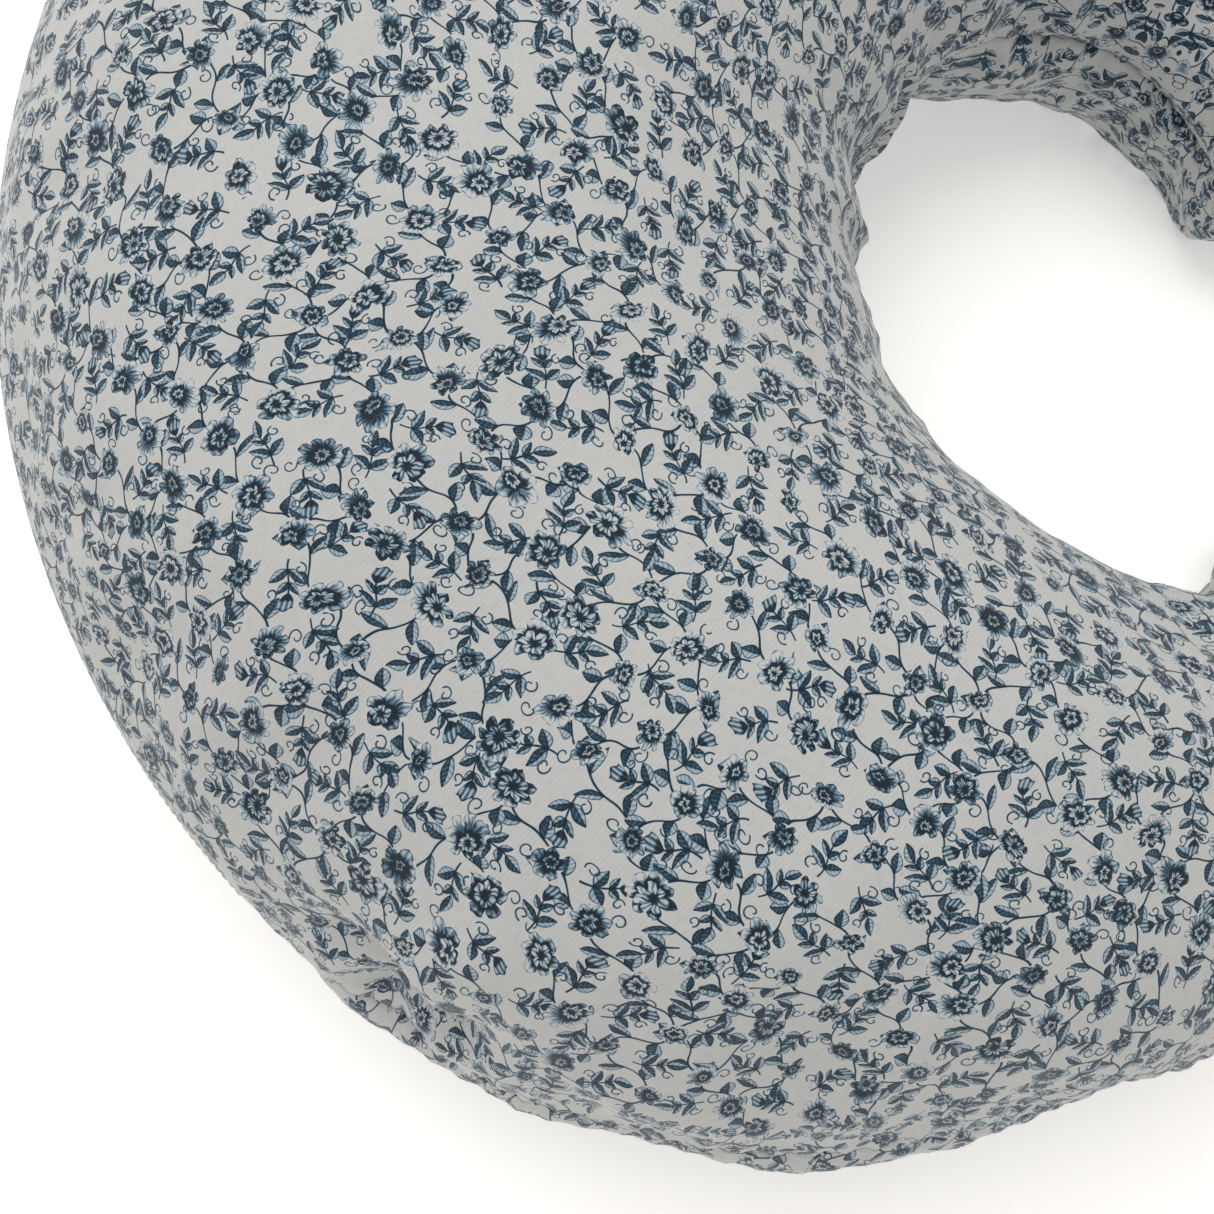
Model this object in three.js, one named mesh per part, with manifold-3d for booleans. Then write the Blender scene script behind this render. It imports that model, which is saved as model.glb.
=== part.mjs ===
// Crescent nursing pillow: a polyester-fibre cushion in a cotton liner, inside a printed cotton
// slipcover that closes with a coil zip round the back. Millimetres, +Z up, lying flat on z = 0.
// The wearer's waist goes into the hole, which opens between the arm tips towards -Y.

import * as THREE from 'three';
import { LoftGeometry } from 'three/addons/geometries/LoftGeometry.js';
import { mergeVertices } from 'three/addons/utils/BufferGeometryUtils.js';
import Module from 'manifold-3d';

const wasm = await Module();
wasm.setup();

const { clamp, degToRad, lerp, smoothstep } = THREE.MathUtils;

// Plan, in polar form about the hole's centre, with angle 0 towards the back.
const HOLE_Y = -113.4; // hole centre, which puts the origin in the middle of the footprint
const OUTLINE_RADIUS = 264; // the flanks and arms lie on one circle
const OUTLINE_OFFSET = 98; // its centre, this far behind the hole's centre
const HOLE_RADIUS = 100; // at the back of the hole
const HOLE_BULGE = 5; // extra radius across the hole
const ARM_CLOSING = 26; // how far the arms' inner edges close in towards the opening
const ARM_CLOSING_FROM = degToRad(95);
const ARM_CLOSING_TO = degToRad(140);
const CAP_START = degToRad(129); // where each arm begins to round off
const CAP_SWEEP = degToRad(25); // angle taken by a rounded arm end
const CAP_DISTANCE = 130; // from the hole's centre to the arm ends

// Section: a superellipse about the seam, with the weight of the filling flattening its underside.
const BASE_HALF_HEIGHT = 90;
const ARM_HALF_HEIGHT = 60;
const FALL_START = degToRad(45); // the height falls from the base height to the arm height
const FALL_END = degToRad(135);
const UNDERSIDE_CUT = 8; // how much of the section the floor flattens away
const ROUNDNESS = 2.25; // superellipse exponent
const SEAM_RISE = 24; // how far the outer seam rides up on the flanks
const SEAM_RISE_FROM = degToRad(42);
const SEAM_RISE_TO = degToRad(112);

// The zip lies on a true circle round the back, centred on the Z axis through ARC_Y.
const ARC_RADIUS = 288; // outer face of the cover along the zip
const ARC_OFFSET = OUTLINE_RADIUS + OUTLINE_OFFSET - ARC_RADIUS;
const ARC_Y = HOLE_Y + ARC_OFFSET;
const ARC_BLEND_FROM = degToRad(40); // the outline passes from this circle to the flanks' one
const ARC_BLEND_TO = degToRad(75);
const TAPE_END = degToRad(45); // all zip angles are measured about the arc centre
const CHAIN_END = degToRad(41);
const SLIDER_REST = degToRad(40); // closed, beside the top stops
const ZIP_HEIGHT = BASE_HALF_HEIGHT - UNDERSIDE_CUT;

// Cloth layers, as insets from the cover's outer face: side in plan, rise in height.
const LAYERS = {
  coverFace: { side: 0, rise: 0 },
  coverBack: { side: 1.2, rise: 1.2 },
  coverAllowanceOut: { side: 2.2, rise: 0.7 },
  coverAllowanceIn: { side: 5.4, rise: 1.8 },
  linerFace: { side: 8, rise: 3.2 },
  linerBack: { side: 8.8, rise: 4 },
  linerAllowanceOut: { side: 9.6, rise: 4.2 },
  linerAllowanceIn: { side: 13.6, rise: 5.2 },
  fill: { side: 14.4, rise: 5.5 },
};
const SEAM_GAP = 0.2; // half the gap between two panels at their seam
const ZIP_OPENING = 4.2; // half the gap between the panels along the zip
const ALLOWANCE_THICKNESS = 1.2;

// Sampling: stations run from the middle of the back to one arm tip, and are mirrored.
const ZIP_STEPS = 10;
const ARM_STEPS = 16;
const CAP_STEPS = 6;
const ZIP_CLOSE = degToRad(1.2); // the opening closes to a seam within this angle past the tapes
const RIM_STEP = 6 / 180; // first and last section steps, as fractions of a panel's width
const PANEL_STEPS = 8; // equal section steps between them

const COLOURS = {
  print: 0xc3c4c3,
  allowance: 0xb9bab8,
  tape: 0x8d98a3,
  coil: 0x7b8793,
  metal: 0xa9abad,
  thread: 0xd5d5d2,
  liner: 0xe9e7e1,
  fibre: 0xf4f3ef,
  label: 0xf1f0ec,
};

const cloth = (color) => new THREE.MeshStandardMaterial({ color, roughness: 0.92, metalness: 0 });
const plastic = (color) => new THREE.MeshStandardMaterial({ color, roughness: 0.45, metalness: 0 });
const metal = (color) => new THREE.MeshStandardMaterial({ color, roughness: 0.32, metalness: 1 });

const part = new THREE.Group();

function add(name, geometry, material, parent = part) {
  const mesh = new THREE.Mesh(geometry, material);
  mesh.name = name;
  parent.add(mesh);
  return mesh;
}

// ---- Solids ------------------------------------------------------------------------------

function signedVolume(position, index) {
  const a = new THREE.Vector3();
  const b = new THREE.Vector3();
  const c = new THREE.Vector3();
  let volume = 0;
  for (let i = 0; i < index.length; i += 3) {
    a.fromBufferAttribute(position, index[i]);
    b.fromBufferAttribute(position, index[i + 1]);
    c.fromBufferAttribute(position, index[i + 2]);
    volume += a.dot(b.cross(c)) / 6;
  }
  return volume;
}

// Welds a geometry into one closed body: shared corners, no collapsed faces, facing out.
function weld(source) {
  const geometry = new THREE.BufferGeometry();
  geometry.setAttribute('position', source.getAttribute('position'));
  if (source.index) geometry.setIndex(source.index);
  const merged = mergeVertices(geometry, 1e-3);
  const faces = [];
  for (let i = 0; i < merged.index.count; i += 3) {
    const [a, b, c] = [0, 1, 2].map((k) => merged.index.getX(i + k));
    if (a !== b && b !== c && c !== a) faces.push([a, b, c]);
  }
  if (signedVolume(merged.getAttribute('position'), faces.flat()) < 0) {
    faces.forEach((face) => face.reverse());
  }
  merged.setIndex(faces.flat());
  merged.computeVertexNormals();
  return merged;
}

// A strip of the same section all along, closed at both ends.
function strip(sections) {
  return weld(new LoftGeometry(sections, { capStart: true, capEnd: true }));
}

function toManifold(geometry) {
  const welded = weld(geometry);
  return new wasm.Manifold(new wasm.Mesh({
    numProp: 3,
    vertProperties: new Float32Array(welded.getAttribute('position').array),
    triVerts: new Uint32Array(welded.index.array),
  }));
}

// Joins overlapping geometries into one body.
function join(geometries) {
  const whole = geometries.map(toManifold).reduce((a, b) => a.add(b));
  const mesh = whole.getMesh();
  const geometry = new THREE.BufferGeometry();
  geometry.setAttribute('position', new THREE.BufferAttribute(new Float32Array(mesh.vertProperties), 3));
  geometry.setIndex(new THREE.BufferAttribute(new Uint32Array(mesh.triVerts), 1));
  geometry.computeVertexNormals();
  return geometry;
}

// ---- Pillow surface ----------------------------------------------------------------------

const power = (value) => Math.sign(value) * Math.abs(value) ** (2 / ROUNDNESS);

// Distance from the hole's centre to a circle whose centre lies behind it.
function circleDistance(angle, radius, offset) {
  return offset * Math.cos(angle) + Math.sqrt(radius ** 2 - (offset * Math.sin(angle)) ** 2);
}

// The tube's section at a plan angle: its middle, half width and half height.
function tube(angle) {
  const back = circleDistance(angle, ARC_RADIUS, ARC_OFFSET);
  const flank = circleDistance(angle, OUTLINE_RADIUS, OUTLINE_OFFSET);
  const outer = lerp(back, flank, smoothstep(angle, ARC_BLEND_FROM, ARC_BLEND_TO));
  const closing = ARM_CLOSING * smoothstep(angle, ARM_CLOSING_FROM, ARM_CLOSING_TO);
  const inner = HOLE_RADIUS + HOLE_BULGE * Math.sin(angle) ** 2 - closing;
  const fallen = clamp((angle - FALL_START) / (FALL_END - FALL_START), 0, 1);
  const halfHeight = lerp(ARM_HALF_HEIGHT, BASE_HALF_HEIGHT, Math.cos((Math.PI / 2) * fallen) ** 2);
  return { centre: (outer + inner) / 2, halfWidth: (outer - inner) / 2, halfHeight };
}

// A station is an angle along the tube, and on the rounded arm ends an angle round the end.
function makeStations() {
  const zipStation = (psi) => Math.atan2(ARC_RADIUS * Math.sin(psi), ARC_OFFSET + ARC_RADIUS * Math.cos(psi));
  const half = [];
  for (let i = 0; i <= ZIP_STEPS; i++) half.push({ angle: zipStation((TAPE_END * i) / ZIP_STEPS), round: 0 });
  const armStart = half[ZIP_STEPS].angle + ZIP_CLOSE;
  for (let i = 0; i < ARM_STEPS; i++) {
    half.push({ angle: lerp(armStart, CAP_START, i / (ARM_STEPS - 1)), round: 0 });
  }
  for (let i = 1; i <= CAP_STEPS; i++) half.push({ angle: CAP_START, round: (Math.PI / 2) * (i / CAP_STEPS) });
  half.forEach((station, i) => Object.assign(station, { side: 1, zipped: i <= ZIP_STEPS }));
  const mirrored = half.slice(1).reverse().map((station) => ({ ...station, side: -1 }));
  return [...mirrored, ...half];
}

const STATIONS = makeStations();
const COARSE_STATIONS = STATIONS.filter((_, i) => i % 2 === 0);

// Fractions of a panel's width from the outer seam (0) to the hole's seam (1).
const PANEL_FRACTIONS = [0, 1];
for (let i = 0; i <= PANEL_STEPS; i++) PANEL_FRACTIONS.push(lerp(RIM_STEP, 1 - RIM_STEP, i / PANEL_STEPS));
PANEL_FRACTIONS.sort((a, b) => a - b);
const COARSE_FRACTIONS = PANEL_FRACTIONS.filter((_, i) => i % 2 === 0);

// Section angle of the outer seam, which rides above the widest line on the flanks.
function seamAngle(station, halfHeight) {
  const along = (station.angle - SEAM_RISE_FROM) / (SEAM_RISE_TO - SEAM_RISE_FROM);
  const rise = along > 0 && along < 1 ? SEAM_RISE * Math.sin(Math.PI * along) ** 2 : 0;
  return Math.asin((rise / halfHeight) ** (ROUNDNESS / 2));
}

// A point of one cloth layer. Half is +1 for the top panel and -1 for the bottom one, and gap is
// half the opening between the panels at that fraction of the width.
function clothPoint(station, fraction, half, layer, gap = 0) {
  const sweep = CAP_SWEEP - layer.side / CAP_DISTANCE;
  const angle = station.angle + sweep * Math.sin(station.round);
  const scale = Math.cos(station.round);
  const { centre, halfWidth, halfHeight } = tube(angle);
  const seam = seamAngle(station, halfHeight);
  const theta = lerp(seam, half * Math.PI, fraction);
  const radius = centre + (halfWidth - layer.side) * scale * power(Math.cos(theta));
  const lift = (halfHeight - layer.rise - gap) * scale * power(Math.sin(theta));
  const z = halfHeight - UNDERSIDE_CUT + half * gap + lift;
  return new THREE.Vector3(
    station.side * radius * Math.sin(angle),
    HOLE_Y + radius * Math.cos(angle),
    Math.max(z, layer.rise),
  );
}

// ---- Soft pieces -------------------------------------------------------------------------

// A grid of one layer's points: a row for each station, a column for each fraction.
function clothGrid(stations, fractions, half, layer, gapAt = () => 0) {
  return stations.map((station) => fractions.map((f) => clothPoint(station, f, half, layer, gapAt(station, f))));
}

const cellCorners = (grid, i, j) => [grid[i][j], grid[i][j + 1], grid[i + 1][j + 1], grid[i + 1][j]];

// The triangles of a grid. Every layer splits a cell as the cover's face does, along the face's
// shorter diagonal, so that thin layers never cross.
function skin(grid, stations, fractions, half, flipped) {
  const guide = clothGrid(stations, fractions, half, LAYERS.coverFace);
  const triangles = [];
  for (let i = 0; i < stations.length - 1; i++) {
    for (let j = 0; j < fractions.length - 1; j++) {
      const [a, b, c, d] = cellCorners(grid, i, j);
      const [ga, gb, gc, gd] = cellCorners(guide, i, j);
      const cell = ga.distanceTo(gc) <= gb.distanceTo(gd) ? [a, b, c, a, c, d] : [a, b, d, b, c, d];
      triangles.push(...(flipped ? cell.reverse() : cell));
    }
  }
  return triangles;
}

// The rim that joins a face to its back along the first or last column.
function rim(face, back, column, flipped) {
  const triangles = [];
  for (let i = 0; i < face.length - 1; i++) {
    const [a, b] = [face[i][column], face[i + 1][column]];
    const [backA, backB] = [back[i][column], back[i + 1][column]];
    const cell = [a, b, backB, a, backB, backA];
    triangles.push(...(flipped ? cell.reverse() : cell));
  }
  return triangles;
}

function fromTriangles(points) {
  return weld(new THREE.BufferGeometry().setFromPoints(points));
}

// One panel of a cover or liner: a thin shell between two layers.
function panel(half, faceLayer, backLayer, stations, fractions, zipGap) {
  const gapAt = (station, fraction) => {
    const outerGap = station.zipped ? zipGap : SEAM_GAP;
    return lerp(outerGap, SEAM_GAP, (1 - Math.cos(Math.PI * fraction)) / 2);
  };
  const face = clothGrid(stations, fractions, half, faceLayer, gapAt);
  const back = clothGrid(stations, fractions, half, backLayer, gapAt);
  return fromTriangles([
    ...skin(face, stations, fractions, half, false),
    ...skin(back, stations, fractions, half, true),
    ...rim(face, back, 0, false),
    ...rim(face, back, fractions.length - 1, true),
  ]);
}

function cushion(layer, stations, fractions) {
  return fromTriangles([1, -1].flatMap((half) => {
    const grid = clothGrid(stations, fractions, half, layer);
    return skin(grid, stations, fractions, half, half < 0);
  }));
}

// A seam allowance: a flat strip inside the seam, from one station, round the hole, to another.
function allowance(outLayer, inLayer, route) {
  const sections = route.map(({ station, fraction }) => {
    const out = clothPoint(station, fraction, 1, outLayer);
    const inside = clothPoint(station, fraction, 1, inLayer);
    const up = new THREE.Vector3(0, 0, ALLOWANCE_THICKNESS / 2);
    inside.z = out.z;
    return [out.clone().sub(up), inside.clone().sub(up), inside.clone().add(up), out.clone().add(up)];
  });
  return strip(sections);
}

// The seam's route: along one flank from a start station, round the tip, the hole and the other tip.
function seamRoute(stations, isOuter) {
  const left = stations.filter((station) => station.side < 0 && isOuter(station));
  const right = stations.filter((station) => station.side > 0 && isOuter(station));
  const poles = [stations[0], stations[stations.length - 1]];
  const along = (list, fraction) => list.map((station) => ({ station, fraction }));
  return [
    ...along(left.filter((station) => station !== poles[0]).reverse(), 0),
    ...along(stations, 1),
    ...along(right.filter((station) => station !== poles[1]).reverse(), 0),
  ];
}

add('cover_top_panel',
  panel(1, LAYERS.coverFace, LAYERS.coverBack, STATIONS, PANEL_FRACTIONS, ZIP_OPENING),
  cloth(COLOURS.print));
add('cover_bottom_panel',
  panel(-1, LAYERS.coverFace, LAYERS.coverBack, STATIONS, PANEL_FRACTIONS, ZIP_OPENING),
  cloth(COLOURS.print));
add('cover_seam_overlock',
  allowance(LAYERS.coverAllowanceOut, LAYERS.coverAllowanceIn, seamRoute(STATIONS, (s) => !s.zipped)),
  cloth(COLOURS.allowance));

const CLOSING_END = 4; // the stuffing opening spans this many stations each side of the middle

add('liner_top_panel',
  panel(1, LAYERS.linerFace, LAYERS.linerBack, COARSE_STATIONS, COARSE_FRACTIONS, SEAM_GAP),
  cloth(COLOURS.liner));
add('liner_bottom_panel',
  panel(-1, LAYERS.linerFace, LAYERS.linerBack, COARSE_STATIONS, COARSE_FRACTIONS, SEAM_GAP),
  cloth(COLOURS.liner));
const openingAngle = STATIONS[(STATIONS.length - 1) / 2 + CLOSING_END].angle;
add('liner_seam_overlock',
  allowance(LAYERS.linerAllowanceOut, LAYERS.linerAllowanceIn,
    seamRoute(COARSE_STATIONS, (s) => s.angle > openingAngle)),
  cloth(COLOURS.liner));
add('fibre_fill', cushion(LAYERS.fill, COARSE_STATIONS, COARSE_FRACTIONS), cloth(COLOURS.fibre));

// ---- Zip, about the arc centre -----------------------------------------------------------

const zip = new THREE.Group();
zip.position.set(0, ARC_Y, ZIP_HEIGHT);
part.add(zip);

// A band along the zip's circle. Depths are measured outwards from the cover's face.
function band(name, material, { from, to, deep, proud, low, high }) {
  const step = TAPE_END / ZIP_STEPS;
  const angles = [from, to];
  for (let k = Math.ceil(from / step + 0.01); k * step < to - 0.01 * step; k++) angles.push(k * step);
  angles.sort((a, b) => a - b);
  const corner = (psi, depth, z) => {
    const radius = ARC_RADIUS + depth;
    return new THREE.Vector3(radius * Math.sin(psi), radius * Math.cos(psi), z);
  };
  const sections = angles.map((psi) => [
    corner(psi, deep, low), corner(psi, proud, low), corner(psi, proud, high), corner(psi, deep, high),
  ]);
  return add(name, strip(sections), material, zip);
}

const TAPE = { deep: -2.9, proud: -2.3, low: 0.7, high: 11 };
const COIL = { deep: -2, proud: -0.2, low: 0.7, high: 2.2 };
const STITCH = { deep: 0, proud: 0.35, low: 6.3, high: 6.9 };
const STOP = { deep: -2, proud: 0, low: 0.5, high: 2.3 };
const STOP_FROM = CHAIN_END + degToRad(0.3);
const STOP_TO = CHAIN_END + degToRad(0.9);

for (const [place, sign] of [['upper', 1], ['lower', -1]]) {
  const mirror = ({ deep, proud, low, high }) => ({
    deep,
    proud,
    low: Math.min(sign * low, sign * high),
    high: Math.max(sign * low, sign * high),
  });
  band(`zip_tape_${place}`, cloth(COLOURS.tape), { from: -TAPE_END, to: TAPE_END, ...mirror(TAPE) });
  band(`zip_coil_${place}`, plastic(COLOURS.coil), { from: -CHAIN_END, to: CHAIN_END, ...mirror(COIL) });
  band(`zip_stitch_${place}`, cloth(COLOURS.thread), { from: -TAPE_END, to: TAPE_END, ...mirror(STITCH) });
  band(`zip_top_stop_${place}`, metal(COLOURS.metal), { from: STOP_FROM, to: STOP_TO, ...mirror(STOP) });
}
band('zip_bottom_stop', metal(COLOURS.metal),
  { from: -STOP_TO, to: -STOP_FROM, ...STOP, low: -STOP.high });

band('liner_closing_stitch', cloth(COLOURS.thread), {
  from: (-TAPE_END * CLOSING_END) / ZIP_STEPS,
  to: (TAPE_END * CLOSING_END) / ZIP_STEPS,
  deep: -7.7,
  proud: -7.1,
  low: -0.8,
  high: 0.8,
});
band('liner_care_label', cloth(COLOURS.label), {
  from: degToRad(18.5),
  to: degToRad(22.5),
  deep: -7.5,
  proud: -7.1,
  low: -20,
  high: -2,
});

// ---- Slider and pull, about the arc centre, with x along the chain and y outwards ---------

const PLATE_HALF_LENGTH = 5;
const PLATE_HALF_WIDTH = 3.9;
const PLATE = { deep: 0.2, proud: 1.4 };
const BACK_PLATE = { deep: -4.5, proud: -3.4 };
const FLANGE = { deep: -1.9, proud: 0.3, low: 2.6, high: 3.5 };
const PIVOT = 2.2; // the pull turns about a vertical line this far outside the cover
const BRIDGE_HALF_LENGTH = 3.85;
const BRIDGE_LEG = 0.9;
const BRIDGE_HALF_WIDTH = 0.6;
const BRIDGE_UNDER = 3.1;
const BRIDGE_TOP = 3.9;

function block(x0, x1, deep, proud, z0, z1) {
  const box = new THREE.BoxGeometry(x1 - x0, proud - deep, z1 - z0);
  return box.translate((x0 + x1) / 2, ARC_RADIUS + (deep + proud) / 2, (z0 + z1) / 2);
}

// A plate drawn in x and z, and made thick along y.
function plate(shape, deep, proud) {
  const slab = new THREE.ExtrudeGeometry(shape, { depth: proud - deep, bevelEnabled: false, curveSegments: 6 });
  return slab.rotateX(Math.PI / 2).translate(0, ARC_RADIUS + proud, 0);
}

// The slider's outline: wide at the throat that faces the top stops, narrower at the tail.
function sliderOutline(halfWidth) {
  const tail = halfWidth * 0.72;
  const shape = new THREE.Shape();
  shape.moveTo(-PLATE_HALF_LENGTH, -tail + 1);
  shape.quadraticCurveTo(-PLATE_HALF_LENGTH, -tail, -PLATE_HALF_LENGTH + 1, -tail);
  shape.lineTo(1, -halfWidth);
  shape.lineTo(PLATE_HALF_LENGTH - 1.2, -halfWidth);
  shape.quadraticCurveTo(PLATE_HALF_LENGTH, -halfWidth, PLATE_HALF_LENGTH, -halfWidth + 1.2);
  shape.lineTo(PLATE_HALF_LENGTH, halfWidth - 1.2);
  shape.quadraticCurveTo(PLATE_HALF_LENGTH, halfWidth, PLATE_HALF_LENGTH - 1.2, halfWidth);
  shape.lineTo(1, halfWidth);
  shape.lineTo(-PLATE_HALF_LENGTH + 1, tail);
  shape.quadraticCurveTo(-PLATE_HALF_LENGTH, tail, -PLATE_HALF_LENGTH, tail - 1);
  return shape;
}

function sliderBody() {
  const flangeSpan = [-0.5, 4.5];
  const flange = (sign) => {
    const [low, high] = [sign * FLANGE.low, sign * FLANGE.high].sort((a, b) => a - b);
    return block(...flangeSpan, FLANGE.deep, FLANGE.proud, low, high);
  };
  const leg = (x) => block(x, x + BRIDGE_LEG, PLATE.proud - 0.1, BRIDGE_TOP, -BRIDGE_HALF_WIDTH, BRIDGE_HALF_WIDTH);
  return join([
    plate(sliderOutline(PLATE_HALF_WIDTH), PLATE.deep, PLATE.proud),
    plate(sliderOutline(FLANGE.high - 0.2), BACK_PLATE.deep, BACK_PLATE.proud),
    block(1.5, 4.5, BACK_PLATE.proud - 0.1, PLATE.deep + 0.1, -0.4, 0.4),
    flange(1),
    flange(-1),
    leg(-BRIDGE_HALF_LENGTH),
    leg(BRIDGE_HALF_LENGTH - BRIDGE_LEG),
    block(-BRIDGE_HALF_LENGTH, BRIDGE_HALF_LENGTH, BRIDGE_UNDER, BRIDGE_TOP,
      -BRIDGE_HALF_WIDTH, BRIDGE_HALF_WIDTH),
  ]);
}

const PULL_LENGTH = 26;
const PULL_HALF_WIDTH = 2.7;
const PULL_HALF_THICKNESS = 0.45;
const EYE_HALF_WIDTH = 1;
const EYE_FROM = 0.5;
const EYE_TO = 4.6;

// The pull lies back along the chain: an eye round the bridge, a flat tab and a finger hole.
function pullTab() {
  const shape = new THREE.Shape();
  const neck = PULL_HALF_WIDTH - 0.5;
  shape.moveTo(EYE_FROM, -neck);
  shape.lineTo(EYE_FROM, neck);
  shape.lineTo(-EYE_TO, neck);
  shape.lineTo(-EYE_TO - 2, PULL_HALF_WIDTH);
  shape.lineTo(PULL_HALF_WIDTH - PULL_LENGTH, PULL_HALF_WIDTH);
  shape.absarc(PULL_HALF_WIDTH - PULL_LENGTH, 0, PULL_HALF_WIDTH, Math.PI / 2, (3 * Math.PI) / 2, false);
  shape.lineTo(-EYE_TO - 2, -PULL_HALF_WIDTH);
  shape.lineTo(-EYE_TO, -neck);
  const eye = new THREE.Path();
  eye.moveTo(-EYE_FROM, -EYE_HALF_WIDTH);
  eye.lineTo(-EYE_TO, -EYE_HALF_WIDTH);
  eye.lineTo(-EYE_TO, EYE_HALF_WIDTH);
  eye.lineTo(-EYE_FROM, EYE_HALF_WIDTH);
  const finger = new THREE.Path();
  finger.absarc(PULL_HALF_WIDTH - PULL_LENGTH, 0, 1.1, 0, 2 * Math.PI, true);
  shape.holes.push(eye, finger);
  return weld(plate(shape, PIVOT - PULL_HALF_THICKNESS, PIVOT + PULL_HALF_THICKNESS));
}

const slider = new THREE.Group();
slider.rotation.z = -SLIDER_REST;
zip.add(slider);
add('zip_slider', sliderBody(), metal(COLOURS.metal), slider);
add('zip_pull_tab', pullTab(), metal(COLOURS.metal), slider);

export default part;
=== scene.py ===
# Looks for the crescent nursing pillow: printed slipcover, coil zip, liner and filling, built
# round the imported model. Lengths in the code are millimetres, and meshes are made in metres.

import math
from contextlib import contextmanager

import bmesh
import bpy
import numpy as np
from mathutils import Matrix, Vector
from mathutils.bvhtree import BVHTree


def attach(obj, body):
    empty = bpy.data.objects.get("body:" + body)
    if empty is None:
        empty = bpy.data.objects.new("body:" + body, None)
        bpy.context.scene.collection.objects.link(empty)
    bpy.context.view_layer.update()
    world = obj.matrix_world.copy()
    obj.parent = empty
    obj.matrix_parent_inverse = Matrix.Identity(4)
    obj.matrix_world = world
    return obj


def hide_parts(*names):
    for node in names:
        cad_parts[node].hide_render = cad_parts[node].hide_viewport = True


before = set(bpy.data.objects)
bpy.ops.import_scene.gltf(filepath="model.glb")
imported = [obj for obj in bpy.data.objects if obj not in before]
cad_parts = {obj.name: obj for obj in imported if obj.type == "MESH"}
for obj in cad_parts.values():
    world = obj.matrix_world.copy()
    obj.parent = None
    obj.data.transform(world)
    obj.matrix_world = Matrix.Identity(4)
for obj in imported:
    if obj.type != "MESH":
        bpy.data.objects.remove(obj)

MM = 0.001
TURN = 2 * math.pi
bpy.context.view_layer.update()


# ---- Pillow surface: the same formulas as the CAD part ------------------------------------

HOLE_Y = -113.4
OUTLINE_RADIUS, OUTLINE_OFFSET = 264.0, 98.0
HOLE_RADIUS, HOLE_BULGE = 100.0, 5.0
ARM_CLOSING, ARM_CLOSING_SPAN = 26.0, (95.0, 140.0)
CAP_START, CAP_SWEEP, CAP_DISTANCE = math.radians(129), math.radians(25), 130.0
BASE_HALF_HEIGHT, ARM_HALF_HEIGHT, FALL_SPAN = 90.0, 60.0, (45.0, 135.0)
UNDERSIDE_CUT, ROUNDNESS = 8.0, 2.25
SEAM_RISE, SEAM_RISE_SPAN = 24.0, (42.0, 112.0)
ARC_RADIUS = 288.0
ARC_OFFSET = OUTLINE_RADIUS + OUTLINE_OFFSET - ARC_RADIUS
ARC_Y = HOLE_Y + ARC_OFFSET
ARC_BLEND_SPAN = (40.0, 75.0)
TAPE_END, CHAIN_END, MOUTH_END = math.radians(45), math.radians(41), math.radians(43.2)
ZIP_HEIGHT = BASE_HALF_HEIGHT - UNDERSIDE_CUT
ZIP_CLOSE = math.radians(1.2)
ZIP_OPENING, SEAM_GAP = 4.2, 0.2

COVER = (0.0, 0.0)  # a cloth layer's insets: sideways and in height
COVER_ALLOWANCE = ((2.2, 0.7), (5.4, 1.8))
LINER = (8.0, 3.2)
LINER_ALLOWANCE = ((9.6, 4.2), (13.6, 5.2))
FILL = (14.4, 5.5)


def ease(x, span):
    t = np.clip((x - span[0]) / (span[1] - span[0]), 0, 1)
    return t * t * (3 - 2 * t)


def power(value):
    return np.sign(value) * np.abs(value) ** (2 / ROUNDNESS)


def circle_distance(angle, radius, offset):
    return offset * np.cos(angle) + np.sqrt(radius ** 2 - (offset * np.sin(angle)) ** 2)


def tube(angle):
    """The tube's middle, half width and half height at a plan angle from the back."""
    degrees = np.degrees(angle)
    back = circle_distance(angle, ARC_RADIUS, ARC_OFFSET)
    flank = circle_distance(angle, OUTLINE_RADIUS, OUTLINE_OFFSET)
    outer = back + (flank - back) * ease(degrees, ARC_BLEND_SPAN)
    inner = HOLE_RADIUS + HOLE_BULGE * np.sin(angle) ** 2
    inner = inner - ARM_CLOSING * ease(degrees, ARM_CLOSING_SPAN)
    fallen = np.clip((degrees - FALL_SPAN[0]) / (FALL_SPAN[1] - FALL_SPAN[0]), 0, 1)
    drop = np.cos(math.pi / 2 * fallen) ** 2
    half_height = ARM_HALF_HEIGHT + (BASE_HALF_HEIGHT - ARM_HALF_HEIGHT) * drop
    return (outer + inner) / 2, (outer - inner) / 2, half_height


def seam_lift(angle):
    """How far the outer seam rises above mid height at a plan angle."""
    along = (np.degrees(angle) - SEAM_RISE_SPAN[0]) / (SEAM_RISE_SPAN[1] - SEAM_RISE_SPAN[0])
    return SEAM_RISE * np.sin(math.pi * np.clip(along, 0, 1)) ** 2


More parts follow.
